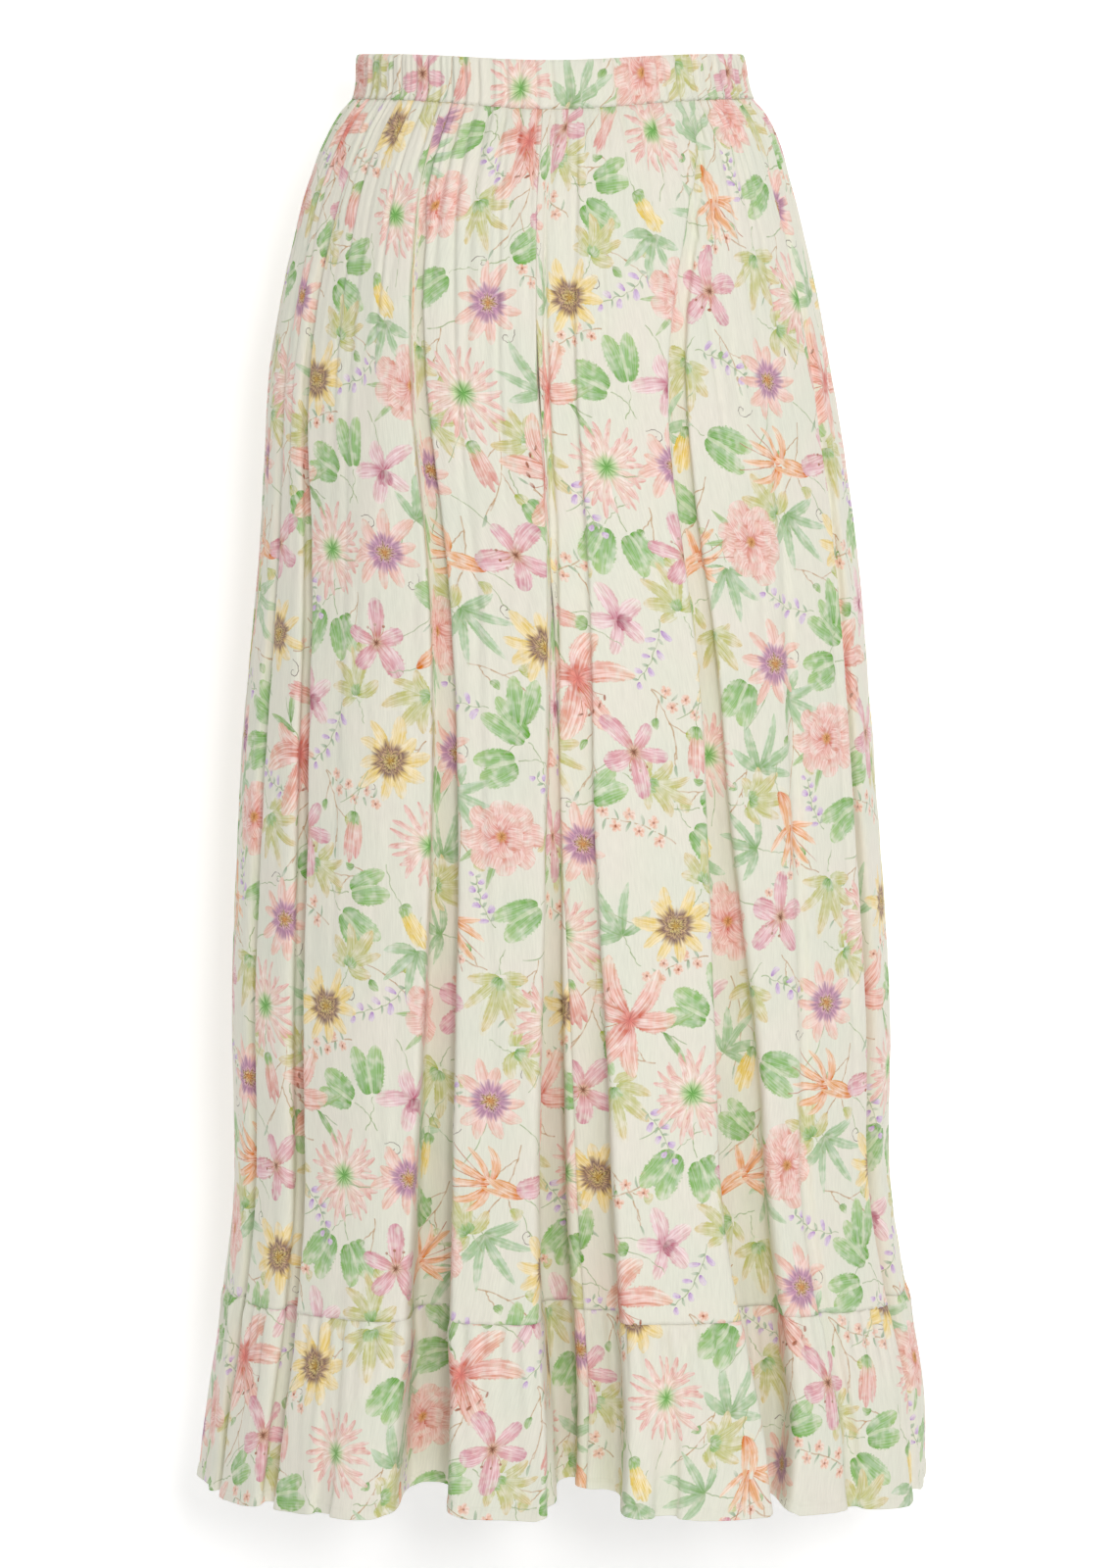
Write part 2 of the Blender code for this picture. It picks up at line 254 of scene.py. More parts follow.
# Studio: a small lamp beside the camera gives the thin shadow on the paper, and a wide one
# above it most of the light. Rows of name, place, width in metres and watts. The upright
# paper glows a little, so it stays white.
LAMPS = (
    ("front_lamp", (0.45, -4.0, 0.27), 0.55, 38.0),
    ("wide_window", (0.90, -3.1, 2.20), 2.50, 40.0),
)
LAMPS_AIM = (0, 0, -0.5)
FILL_STRENGTH = 0.42
WHITE = "#FFFFFF"
PAPER_GLOW = 0.32
PAPER_BEHIND = 0.205
PAPER_FLOOR = -1.45
PAPER_BEND = 0.35
PAPER_HALF_WIDTH = 2.0
PAPER_RISES = 2.4

# The print. Lengths on it are in millimetres of cloth, x across and y down, and it
# repeats every tile. A mark is one brush stroke: it starts at x, y and runs its length
# the way that turn says, 0 across and 90 down. A face holds this many marks.
TILE = (330.0, 430.0)
SLOTS = 7
Mark = namedtuple("Mark", "x y turn length kind seed")
Eye = namedtuple("Eye", "x y radius kind seed")

# A seed makes a mark this share of its full size, plus up to the range, and swings its bend
SMALLEST = 0.78
SIZE_RANGE = 0.44
SWING = 7.31

# A slot with no mark is put this many lengths or radii away, out of sight
FAR_OFF = 9.0

# Numbers of a paint are kept as colours, so they are shares of these. Its place in a Color
# Ramp is one of the thirty-two that a ramp can hold.
WIDEST_MARK = 40.0
WIDEST_BEND = 8.0
RAMP_STOPS = 32

CREAM = "#EDEBDB"
THIN_PAINT = "#FAF2E8"
GROUND = ((0.3, "#EAEADA", 1), (0.5, CREAM, 1), (0.7, "#EFEADC", 1))

# Waves of crinkle and of weave in a millimetre, across and down. Real crepe is several
# times finer than both, too fine to show.
CRINKLE_SCALE = (0.85, 0.075, 1.0)
WEAVE_SCALE = (3.2, 3.2, 1.0)

# Paints: how the mark's width rises and falls, its widest half width and bend in
# millimetres, its colour at the root, middle and tip, how streaky it is, how dark the
# paint pools at its edge, and how well it covers
Paint = namedtuple("Paint", "name rise fall width bend root middle tip streak edge cover")
PAINTS = [
    Paint(*row) for row in (
        ("pink petal", 0.75, 0.55, 4.6, 2.4, "#E8A8A6", "#F5C8BC", "#F4C6B4", 0.5, 0.7, 1.0),
        ("yellow petal", 0.75, 0.55, 4.9, 2.4, "#EFC566", "#F6DB90", "#F6DFA4", 0.5, 0.6, 1.0),
        ("mauve petal", 0.75, 0.42, 7.0, 2.0, "#DDA39C", "#EBB6BC", "#DE9CAD", 0.8, 0.9, 1.0),
        ("dahlia petal", 0.60, 0.42, 2.2, 2.8, "#E0E4C0", "#F6DACB", "#EDB0A8", 0.6, 0.7, 1.0),
        ("peony petal", 0.55, 0.35, 8.6, 2.5, "#E08F89", "#F0B4A9", "#F6CFC2", 0.7, 1.0, 1.0),
        ("orange petal", 0.45, 0.55, 3.0, 5.0, "#EC9C78", "#F5BB90", "#F7CCA8", 0.8, 0.9, 1.0),
        ("lily petal", 0.62, 0.58, 8.4, 6.0, "#DF8A84", "#F3BCAE", "#F6CDB8", 0.9, 1.1, 1.0),
        ("orchid petal", 0.70, 0.50, 6.2, 2.0, "#D08A9C", "#EFC6CB", "#F2D2CF", 0.8, 0.8, 1.0),
        ("orchid lip", 0.60, 0.60, 3.0, 1.0, "#96485C", "#B9627A", "#D994A4", 0.6, 0.6, 1.0),
        ("yellow bud", 0.50, 0.45, 4.8, 1.0, "#CFD17C", "#F4D77C", "#F6DF96", 0.8, 0.8, 1.0),
        ("pink bud", 0.50, 0.60, 4.2, 1.0, "#C8CE96", "#EFB9AC", "#E8A5A0", 0.8, 0.9, 1.0),
        ("heart leaf", 0.42, 0.48, 8.2, 1.0, "#7AB05F", "#93C178", "#B0D08E", 0.7, 0.7, 1.0),
        ("blue leaf", 0.60, 0.75, 3.8, 2.5, "#92B583", "#ADCB9F", "#BFD6B2", 0.7, 1.0, 1.0),
        ("soft leaf", 0.60, 0.60, 4.8, 3.0, "#B2C06C", "#CFCF92", "#E6D3A2", 0.8, 0.6, 1.0),
        ("dark leaf", 0.60, 0.80, 2.9, 2.0, "#78A560", "#98BD77", "#B1CB92", 0.8, 0.7, 1.0),
        ("bell", 0.50, 0.30, 2.2, 0.8, "#BD99D0", "#D3B7DE", "#E0CBE7", 0.6, 0.8, 1.0),
        ("peach petal", 0.55, 0.35, 1.8, 0.5, "#E6A58C", "#F3C5AE", "#F6D2BF", 0.5, 0.8, 1.0),
        ("branch", 0.04, 0.04, 0.55, 0.6, "#B98F64", "#C9A67C", "#C0946C", 0.4, 0.3, 0.85),
        ("green stem", 0.04, 0.06, 0.50, 1.2, "#94AA72", "#A3B884", "#94AA72", 0.3, 0.3, 0.85),
        ("tendril", 0.02, 0.02, 0.36, 0.4, "#5F5047", "#6B5A50", "#5F5047", 0.1, 0.1, 0.9),
        ("stamen", 0.03, 0.05, 0.42, 1.5, "#D08A5E", "#C97F58", "#B9694A", 0.2, 0.2, 0.9),
        ("anther", 0.45, 0.45, 1.1, 0.2, "#8E4526", "#A5552F", "#B5653F", 0.3, 0.3, 1.0),
        ("light", 0.50, 0.60, 1.6, 1.0, "#F2F2DC", "#EEF0D2", "#F3F1E0", 0.1, 0.0, 0.45),
        ("sprig leaf", 0.55, 0.70, 1.1, 0.6, "#86A27F", "#A2B99A", "#B8CAAB", 0.3, 0.3, 0.9),
        ("wash", 0.50, 0.50, 7.5, 4.0, "#D6E4C4", "#E3EACB", "#F0E6C8", 0.4, -0.3, 0.45),
    )
]
KIND = {paint.name: number for number, paint in enumerate(PAINTS)}

# Flower middles: rings of colour with how well each covers, from the centre to the rim
EYES = {
    "purple rays": (
        (0.0, "#E9B06A", 1), (0.14, "#A85A30", 1), (0.22, "#F3DCA6", 1), (0.33, "#8A5050", 1),
        (0.40, "#E9C6C8", 0.9), (0.50, "#AE7CA2", 0.85), (0.72, "#BE8FB2", 0.72),
        (0.95, "#CDA8C2", 0.0),
    ),
    "brown rays": (
        (0.0, "#DDB75A", 1), (0.14, "#8A5A2A", 1), (0.24, "#F1DC96", 1), (0.35, "#6E4A4A", 1),
        (0.44, "#D9B98C", 0.9), (0.54, "#7A5560", 0.9), (0.74, "#A88468", 0.6),
        (0.95, "#E6C878", 0.0),
    ),
    "green heart": (
        (0.0, "#69A94F", 1), (0.3, "#8CBF6C", 0.95), (0.65, "#B9D69A", 0.6), (0.95, "#E4DCBE", 0.0),
    ),
    "dark heart": (
        (0.0, "#6B4730", 1), (0.25, "#A8735A", 0.9), (0.5, "#E3BFA0", 0.7), (0.95, "#E3B5B5", 0.0),
    ),
    "coral throat": (
        (0.0, "#D9756C", 1), (0.4, "#E28C80", 0.9), (0.7, "#EDA698", 0.6), (0.95, "#F1B8A8", 0.0),
    ),
    "gold heart": (
        (0.0, "#A8602F", 1), (0.35, "#D99A50", 0.9), (0.6, "#E9B57C", 0.6), (0.95, "#E9A08C", 0.0),
    ),
}
EYE_KIND = {name: number for number, name in enumerate(EYES)}

# Where each motif sits on the tile: its middle, its size across and the way it is turned
GREENERY = (
    ("heart_pair", 82, 22, 34, 200), ("bells", 208, 18, 46, 120), ("soft_leaves", 312, 20, 40, 80),
    ("whorl", 18, 88, 42, 300), ("soft_leaves", 122, 92, 42, 60), ("heart_leaf", 86, 138, 34, 150),
    ("florets", 182, 140, 52, 200), ("heart_pair", 236, 136, 34, 20), ("whorl", 318, 150, 40, 200),
    ("soft_leaves", 66, 196, 44, 100), ("whorl", 160, 196, 42, 250), ("bells", 250, 198, 48, 150),
    ("bells", 24, 256, 44, 30), ("heart_pair", 226, 258, 34, 240),
    ("soft_leaves", 316, 264, 42, 120), ("heart_leaf", 14, 310, 36, 30),
    ("soft_leaves", 160, 330, 42, 70), ("whorl", 70, 374, 44, 60), ("florets", 164, 384, 54, 340),
    ("heart_pair", 206, 376, 34, 100), ("bells", 50, 418, 44, 200),
    ("heart_leaf", 96, 424, 32, 280), ("soft_leaves", 278, 424, 40, 160),
    ("florets", 230, 52, 46, 20), ("soft_leaves", 140, 240, 36, 200),
    ("heart_leaf", 300, 350, 30, 220), ("whorl", 52, 60, 36, 30), ("soft_leaves", 206, 112, 36, 20),
    ("heart_leaf", 160, 112, 28, 330), ("bells", 60, 128, 36, 250),
    ("soft_leaves", 232, 166, 36, 300), ("whorl", 272, 178, 36, 110), ("florets", 30, 176, 40, 140),
    ("soft_leaves", 92, 236, 38, 20), ("florets", 204, 236, 44, 160), ("whorl", 300, 290, 38, 320),
    ("heart_leaf", 140, 296, 30, 60), ("bells", 186, 350, 40, 60),
    ("soft_leaves", 42, 348, 38, 230), ("soft_leaves", 232, 408, 38, 250),
    ("whorl", 330, 408, 38, 90), ("heart_leaf", 330, 52, 30, 120),
    ("soft_leaves", 12, 120, 36, 350), ("bells", 118, 52, 38, 210),
)
FLOWERS = (
    ("passion_pink", 30, 30, 67, 10), ("lily", 150, 36, 84, 60),
    ("passion_yellow", 262, 34, 65, 30), ("peony", 74, 84, 60, 0), ("clematis", 186, 86, 65, 15),
    ("pink_bud", 232, 88, 36, 100), ("dahlia", 290, 92, 69, 0), ("honeysuckle", 34, 146, 60, 70),
    ("passion_pink", 132, 150, 64, 45), ("yellow_bud", 276, 148, 34, 60),
    ("clematis", 20, 204, 63, 60), ("dahlia", 108, 212, 72, 20),
    ("passion_yellow", 204, 206, 65, 80), ("peony", 296, 208, 60, 30),
    ("passion_pink", 62, 266, 65, 0), ("pink_bud", 112, 262, 36, 80), ("lily", 168, 270, 86, 200),
    ("orchid", 270, 266, 60, 90), ("honeysuckle", 58, 322, 63, 200),
    ("clematis", 112, 322, 63, 100), ("dahlia", 212, 322, 69, 50),
    ("passion_pink", 262, 322, 64, 60), ("yellow_bud", 306, 312, 34, 110),
    ("peony", 24, 376, 59, 70), ("passion_yellow", 116, 384, 64, 120),
    ("clematis", 252, 384, 60, 200), ("honeysuckle", 306, 386, 58, 330),
    ("orchid", 190, 426, 56, 20), ("pink_bud", 148, 424, 34, 200),
)
TWIGS = (
    (44, 58, 60, 80), (206, 44, 50, 60), (96, 168, 46, 100), (226, 170, 58, 15), (130, 236, 62, 95),
    (296, 246, 60, 70), (20, 230, 40, 50), (84, 296, 62, 100), (236, 350, 46, 90),
    (326, 330, 50, 110), (60, 396, 50, 10), (160, 60, 56, 95), (250, 110, 44, 160),
    (60, 176, 44, 200), (186, 300, 50, 190), (330, 96, 44, 100), (150, 372, 44, 40),
    (288, 20, 46, 130),
)
CURLS = (
    (52, 20, 12, 40), (250, 62, 12, 200), (118, 122, 11, 300), (152, 168, 12, 80),
    (224, 190, 11, 10), (42, 286, 12, 120), (84, 250, 11, 250), (246, 298, 12, 330),
    (284, 336, 12, 60), (96, 366, 11, 180), (136, 400, 12, 20), (10, 56, 11, 150),
)


def curve_through(place, places, values):
    """A smooth curve through a table's rows, read at each place."""
    places = np.asarray(places, dtype=float)
    values = np.asarray(values, dtype=float)
    slopes = np.gradient(values, places)
    row = np.clip(np.searchsorted(places, place) - 1, 0, len(places) - 2)
    step = places[row + 1] - places[row]
    part = np.clip((place - places[row]) / step, 0.0, 1.0)
    rest = 1.0 - part
    start = values[row] * (1 + 2 * part) * rest**2 + slopes[row] * step * part * rest**2
    end = values[row + 1] * (3 - 2 * part) * part**2 - slopes[row + 1] * step * rest * part**2
    return start + end


def ease(share):
    """0 below 0, 1 above 1, and a smooth step between."""
    share = np.clip(share, 0.0, 1.0)
    return share * share * (3.0 - 2.0 * share)


def hump(distance, width):
    """1 at the middle, falling smoothly to nothing."""
    return np.exp(-((distance / width) ** 2))


def fold_at(fold, angle, drop):
    """Where a place is across a fold, 0 to 1, its two walls' shares, depth in mm and span."""
    middle, span, deep = (curve_through(drop, LEVELS, column) for column in fold[:3])
    low_wall = (1.0 - fold.floor) * (1.0 + fold.lean) / 2.0
    high_wall = (1.0 - fold.floor) * (1.0 - fold.lean) / 2.0
    return (angle - middle) / span + 0.5, low_wall, high_wall, np.maximum(deep, 0.0), span


def fold_depth(angle, drop):
    """How far the big folds press the cloth in, in metres."""
    depth = np.zeros(np.shape(angle))
    for fold in FOLDS:
        across, low_wall, high_wall, deep, _ = fold_at(fold, angle, drop)
        depth += deep / MM * ease(across / low_wall) * ease((1.0 - across) / high_wall)
    return depth


def hem_lift(angle, drop):
    """How far each fold lifts the hem, in metres, from a little outside its walls."""
    lift = np.zeros(np.shape(angle))
    for fold in FOLDS:
        across, _, _, deep, _ = fold_at(fold, angle, drop)
        wide = 0.5 + (across - 0.5) / LIFT_SPREAD
        lift += deep / MM * ease(wide / LIFT_WALL) * ease((1.0 - wide) / LIFT_WALL)
    return lift * curve_through(drop, LEVELS, FOLD_LIFT)


def fold_tuck(angle, drop):
    """How far, in degrees, the cloth slides sideways so that each lobe overhangs its recess."""
    slide = np.zeros(np.shape(angle))
    for fold in FOLDS:
        across, low_wall, high_wall, deep, span = fold_at(fold, angle, drop)
        low = low_wall * np.sin(2 * np.pi * np.clip(across / low_wall, 0.0, 1.0))
        high = high_wall * np.sin(2 * np.pi * np.clip((1.0 - across) / high_wall, 0.0, 1.0))
        slide += WALL_TUCK * ease(deep / MM / TUCK_NEEDS) * span * (low - high)
    return slide


def wave_height(angle, drop):
    """Slow swells between the folds, deeper towards the hem."""
    height = np.zeros(np.shape(angle))
    for count, heights, phase in WAVES:
        size = curve_through(drop, LEVELS, heights) / MM
        height += size * np.sin(np.radians(angle * count) + phase)
    return height


def waist_line(angle, drop):
    """How far the waist line sits below its level: a dip behind, and the front lower."""
    around = (angle + 180.0) % FULL_TURN - 180.0
    behind = curve_through(drop, *WAIST_DIPS) * hump(around, BACK_DIP_SPREAD)
    front = np.maximum(-np.cos(np.radians(angle)), 0.0) ** 2
    fade = 1.0 - ease((drop - BAND_SEAM) / (WAIST_LINE_FADES - BAND_SEAM))
    return behind + FRONT_DROP * front * fade


def side_drop(angle, drop):
    """The hem hangs lower at the two sides."""
    lower = curve_through(drop, LEVELS, SIDE_DROP) / MM
    return lower * np.sin(np.radians(angle)) ** 2


def lap(angle, drop):
    """How far the under front steps in to pass beneath the over front."""
    inwards = LAP_AT_WAIST + (LAP_AT_HEM - LAP_AT_WAIST) * ease(drop / HEM)
    return inwards * ease((LAP_STARTS - angle) / (LAP_STARTS - LAP_FULL))


def middle_drift(angle, drop):
    """The back cloth shifts sideways with its centre seam, and the side seams stay."""
    seam = BACK_SEAM_AT_WAIST + (BACK_SEAM_AT_HEM - BACK_SEAM_AT_WAIST) * ease(drop / HEM)
    return seam * np.maximum(1.0 - np.abs(angle) / SIDE_SEAM, 0.0)


def press_angle(angle):
    """The way folds press in: square to the sides, and nearly straight back elsewhere."""
    from_middle = (angle + SIDE_SEAM) % 180.0 - SIDE_SEAM
    return angle - from_middle + SIDE_SEAM * np.sign(from_middle) * (from_middle / SIDE_SEAM) ** 2


def hung_surface(angle, drop, under=False):
    """Points of the cloth as the frame has it, without gathers."""
    turned = angle + middle_drift(angle, drop)
    drops, *ovals = zip(*SECTIONS)
    half_width, half_depth, aside = (curve_through(drop, drops, column) for column in ovals)
    placed = np.radians(turned + fold_tuck(turned, drop))
    sine = np.sin(placed)
    cosine = np.cos(placed)
    pressed = fold_depth(turned, drop)
    press = np.radians(press_angle(turned))
    outwards = wave_height(turned, drop)
    if under:
        outwards = outwards - lap(angle, drop)
    length = np.hypot(half_depth * sine, half_width * cosine)
    across = half_width * sine + aside + outwards * half_depth * sine / length
    across = across - pressed * np.sin(press)
    along = -half_depth * cosine - outwards * half_width * cosine / length
    along = along + pressed * np.cos(press)
    height = hem_lift(turned, drop) - drop
    height = height - waist_line(turned, drop) - side_drop(turned, drop)
    return np.stack((across, along, height), axis=-1)


def ripple(angle, drop, columns, rows, seed):
    """Smooth random unevenness between -1 and 1 that closes round the full turn."""
    knots = np.random.default_rng(seed).uniform(-1.0, 1.0, (rows, columns))
    x = (angle % FULL_TURN) / FULL_TURN * columns
    y = (drop - BAND_TOP) / (HEM + 0.02 - BAND_TOP) * (rows - 1)
    left = np.floor(x).astype(int) % columns
    top = np.clip(np.floor(y).astype(int), 0, rows - 2)
    share_x = ease(x - np.floor(x))
    share_y = ease(y - top)
    right = (left + 1) % columns
    upper = knots[top, left] * (1 - share_x) + knots[top, right] * share_x
    lower = knots[top + 1, left] * (1 - share_x) + knots[top + 1, right] * share_x
    return upper * (1 - share_y) + lower * share_y


def level_ripple(angle, columns, seed, drop=0.2):
    """Unevenness round the cloth that is the same all the way down."""
    return ripple(angle, np.full(np.shape(angle), drop), columns, 2, seed)


def gather_wave(angle, count, seed):
    """Rounded gathers with narrow valleys, of uneven width."""
    shift = 26.0 * level_ripple(angle, UNEVEN_WIDTH_KNOTS, seed, 0.3) / (count / GATHERS)
    phase = np.radians(angle * count) + np.radians(shift * 5)
    return 2.0 * np.abs(np.cos(phase / 2)) ** 0.8 - 1.1


def gather_valleys(angle):
    """How much cloth the waist gathers hide at each angle."""
    return np.clip(0.35 - gather_wave(angle, *WAIST_GATHERS), 0.02, 1.5) ** 3


def uneven_length(angle, length, knots):
    """How far down the gathers go at each angle."""
    return length * (1.0 + LENGTH_VARIES * level_ripple(angle, *knots))


def creased(height, angle, drop):
    """The height with the creases pressed into it, each with a soft shoulder."""
    for top_angle, low_angle, start, end, width, depth in CREASES:
        run = np.clip((drop - start) / (end - start), 0.0, 1.0)
        across = (angle - (top_angle + (low_angle - top_angle) * run)) * METRES_A_DEGREE
        fades = (run - CREASE_FADES_FROM) / (1.0 - CREASE_FADES_FROM)
        fade = ease((drop - start) / CREASE_BEGINS + 1.0) * (1.0 - ease(fades))
        valley = hump(across, width / (2 * MM))
        shoulder = CREASE_SHOULDER * hump(across - width / MM, width / (1.5 * MM))
        height = height - depth / MM * fade * (valley - shoulder)
    return height


def fine_height(angle, drop, start, end):
    """Gathers, creases, seams and edges, as a height in metres square to the cloth."""
    uneven = 1.0 + HEIGHT_VARIES * level_ripple(angle, *UNEVEN_HEIGHT)
    below_band = drop - BAND_SEAM
    length = uneven_length(angle, GATHER_LENGTH, UNEVEN_WAIST_LENGTH)
    waist = WAIST_GATHER * np.exp(-np.maximum(below_band, 0.0) / length)
    opening = WAIST_SEWN + (1.0 - WAIST_SEWN) * ease(below_band / GATHERS_OPEN)
    height = waist * uneven * opening * gather_wave(angle, *WAIST_GATHERS)
    small = SMALL_GATHER_SHARE * waist * opening
    height = height + small * gather_wave(angle, *SMALL_GATHERS)
    height = height - TUCKED_IN * ease((BAND_SEAM + 0.003 - drop) / TUCK_SLOPE)

    below_seam = drop - FRILL_SEAM
    gathers = gather_wave(angle, *FRILL_GATHERS)
    if drop.min() > FRILL_SEAM - 0.01:
        length = uneven_length(angle, FRILL_GATHER_LENGTH, UNEVEN_FRILL_LENGTH)
        frill = FRILL_GATHER * np.exp(-np.maximum(below_seam, 0.0) / length)
        frill = frill * (FRILL_SEWN + (1.0 - FRILL_SEWN) * ease(below_seam / GATHERS_OPEN))
        step = -FRILL_STEPS_IN * np.exp(-np.maximum(below_seam, 0.0) / FRILL_STEP_LENGTH)
        height = height + (frill * uneven * gathers + step)
    else:
        pucker = SEAM_PUCKER * np.exp(np.minimum(below_seam, 0.0) / PUCKER_LENGTH)
        height = height + pucker * gathers

    height = creased(height, angle, drop)
    for size, columns, rows, seed in CRUMPLES:
        height = height + size * ripple(angle, drop, columns, rows, seed)
    for edge in (start, end):
        from_edge = np.abs(angle - edge) * METRES_A_DEGREE
        height = height - SEAM_GROOVE * hump(from_edge, SEAM_WIDTH)
    from_hem = HEM - drop
    turned_up = HEM_STEP * ease((HEM_TURN - from_hem) / 0.001 + 0.5)
    stitches = STITCH_GROOVE * hump(from_hem - HEM_TURN + STITCH_INSET, STITCH_WIDTH)
    return height + turned_up - stitches


def full_width(paint):
    """What a paint's width curve is multiplied by, so that its peak is the widest half width."""
    peak = paint.rise / (paint.rise + paint.fall)
    return paint.width / (peak**paint.rise * (1.0 - peak) ** paint.fall)


class PrintDesign:
    """The tile's painted marks and flower middles, from the lowest to the uppermost."""

    def __init__(self):
        self.draw = np.random.default_rng(1941)
        self.marks = []
        self.eyes = []
        for place in TWIGS:
            self.twig(*place)
        twigs = len(self.marks)
        for motif, *place in GREENERY + FLOWERS:
            getattr(self, motif)(*place)
        curls = len(self.marks)
        for place in CURLS:
            self.curl(*place)
        # The curls lie on the twigs and under the leaves and flowers
        self.marks[twigs:] = self.marks[curls:] + self.marks[twigs:curls]

    def mark(self, kind, x, y, turn, length):
        self.marks.append(Mark(x, y, turn, length, KIND[kind], self.draw.uniform(0.03, 0.97)))

    def eye(self, kind, x, y, radius):
        self.eyes.append(Eye(x, y, radius, EYE_KIND[kind], self.draw.uniform(0.03, 0.97)))

    def at(self, x, y, turn, away):
        return x + away * math.cos(math.radians(turn)), y + away * math.sin(math.radians(turn))

    def fan(self, kind, start, turn, size, marks):
        """Marks that spread from one point: the way and length of each."""
        for way, length in marks:
            self.mark(kind, *start, turn + way, size * length)

    def ring(self, kind, x, y, turn, count, length, inset=0.0, lean=0.20):
        """Petals round a middle, seen a little from one side, so that they differ in length."""
        for number in range(count):
            way = turn + FULL_TURN * number / count + self.draw.uniform(-6, 6)
            short = 1.0 - lean * abs(math.sin(math.radians(way - turn - 50)))
            start = self.at(x, y, way, inset * short)
            self.mark(kind, *start, way, (length - inset) * short * self.draw.uniform(0.9, 1.06))

    def line(self, kind, points):
        """A thin line through points, one mark for each stretch."""
        for (x, y), (next_x, next_y) in zip(points, points[1:]):
            turn = math.degrees(math.atan2(next_y - y, next_x - x))
            self.mark(kind, x, y, turn, math.hypot(next_x - x, next_y - y) + 0.3)

    def arc(self, kind, x, y, turn, step, bend, count):
        """A line that turns by bend degrees at each step; gives its points and ways back."""
        points, ways = [(x, y)], [turn]
        for number in range(count):
            points.append(self.at(*points[-1], ways[-1], step))
            ways.append(ways[-1] + bend)
        self.line(kind, points)
        return points, ways

    def twig(self, x, y, size, turn):
        """A thin brown branch with forks, each ending in a small leaf."""
        points, ways = self.arc("branch", x, y, turn, size / 6, 7, 6)
        forks = ((1, 44, "dark leaf"), (3, -40, "soft leaf"), (5, 10, "sprig leaf"))
        for number, side, kind in forks:
            point, way = points[number], ways[number]
            fork, fork_ways = self.arc("branch", *point, way + side, size / 12, -5, 3)
            self.mark(kind, *fork[-1], fork_ways[-1], size * 0.17)
            self.mark("branch", *self.at(*point, way, -0.8), way, 2.4)

    def curl(self, x, y, size, turn):
        points = [(x, y)]
        for number in range(9):
            turn += 14 + 6 * number
            points.append(self.at(*points[-1], turn, size * 0.30 * (1 - 0.07 * number)))
        self.line("tendril", points)

    def passion(self, petal, eye, x, y, size, turn):
        self.arc("green stem", x, y, turn + 100, size * 0.2, 9, 4)
        self.ring(petal, x, y, turn + 36, 5, size * 0.52)
        self.ring(petal, x, y, turn, 5, size * 0.48)
        self.eye(eye, x, y, size * 0.235)

    def passion_pink(self, *place):
        self.passion("pink petal", "purple rays", *place)

    def passion_yellow(self, *place):
        self.passion("yellow petal", "brown rays", *place)

    def clematis(self, x, y, size, turn):
        self.arc("green stem", x, y, turn + 150, size * 0.16, -8, 5)
        self.ring("mauve petal", x, y, turn, 5, size * 0.56, lean=0.35)
        for way in (-24, 4, 34):
            side = turn + 60 + way
            self.mark("stamen", *self.at(x, y, side, size * 0.07), side, size * 0.13)
            self.mark("anther", *self.at(x, y, side, size * 0.19), side, 2.2)
        self.eye("dark heart", x, y, size * 0.10)

    def dahlia(self, x, y, size, turn):
        self.arc("green stem", x, y, turn + 80, size * 0.18, 8, 4)
        for count, length in ((20, 0.52), (17, 0.43), (12, 0.32)):
            self.ring("dahlia petal", x, y, turn + 9 * count, count, size * length, size * 0.06)
        self.eye("green heart", x, y, size * 0.16)

    def peony(self, x, y, size, turn):
        self.fan("dark leaf", (x, y), turn, size, ((110, 0.66), (150, 0.62)))
        for count, length, inset in ((8, 0.52, 0.08), (7, 0.42, 0.06), (5, 0.30, 0.03)):
            ring = (turn + 17 * count, count, size * length, size * inset)
            self.ring("peony petal", x, y, *ring, lean=0.15)
        self.eye("gold heart", x, y, size * 0.09)

    def honeysuckle(self, x, y, size, turn):
        tube = self.at(x, y, turn + 180, size * 0.5)
        self.arc("green stem", *tube, turn + 190, 5, 8, 4)
        mouth = self.at(*tube, turn, size * 0.42)
        lips = ((-70, 0.40), (-40, 0.5), (-14, 0.56), (12, 0.52), (38, 0.48), (66, 0.42))
        self.fan("orange petal", mouth, turn, size, lips)
        for way in (-24, 4, 26):
            start = self.at(*mouth, turn + way, size * 0.12)
            self.mark("stamen", *start, turn + way, size * 0.5)
        self.fan("orange petal", tube, turn, size, ((-7, 0.5), (0, 0.5), (7, 0.5)))

    def lily(self, x, y, size, turn):
        self.arc("green stem", x, y, turn + 176, size * 0.13, 5, 4)
        for away, way, length in ((0.3, 215, 0.34), (0.22, 140, 0.36)):
            start = self.at(x, y, turn + 180, size * away)
            self.mark("dark leaf", *start, turn + way, size * length)
        petals = ((158, 0.40), (-112, 0.46), (104, 0.48), (-62, 0.54), (54, 0.55), (-4, 0.52))
        self.fan("lily petal", (x, y), turn, size, petals)
        self.eye("coral throat", x, y, size * 0.09)
        for way in (-34, -18, -2, 16, 32):
            side = turn + way
            self.mark("stamen", *self.at(x, y, side, size * 0.08), side, size * 0.22)
            self.mark("anther", *self.at(x, y, side, size * 0.29), side + 70, 4.2)

    def orchid(self, x, y, size, turn):
        self.arc("green stem", x, y, turn + 180, size * 0.14, -7, 5)
        self.ring("orchid petal", x, y, turn + 20, 5, size * 0.52, lean=0.3)
        self.fan("orchid lip", (x, y), turn, size, ((-22, 0.19), (4, 0.19), (28, 0.19)))

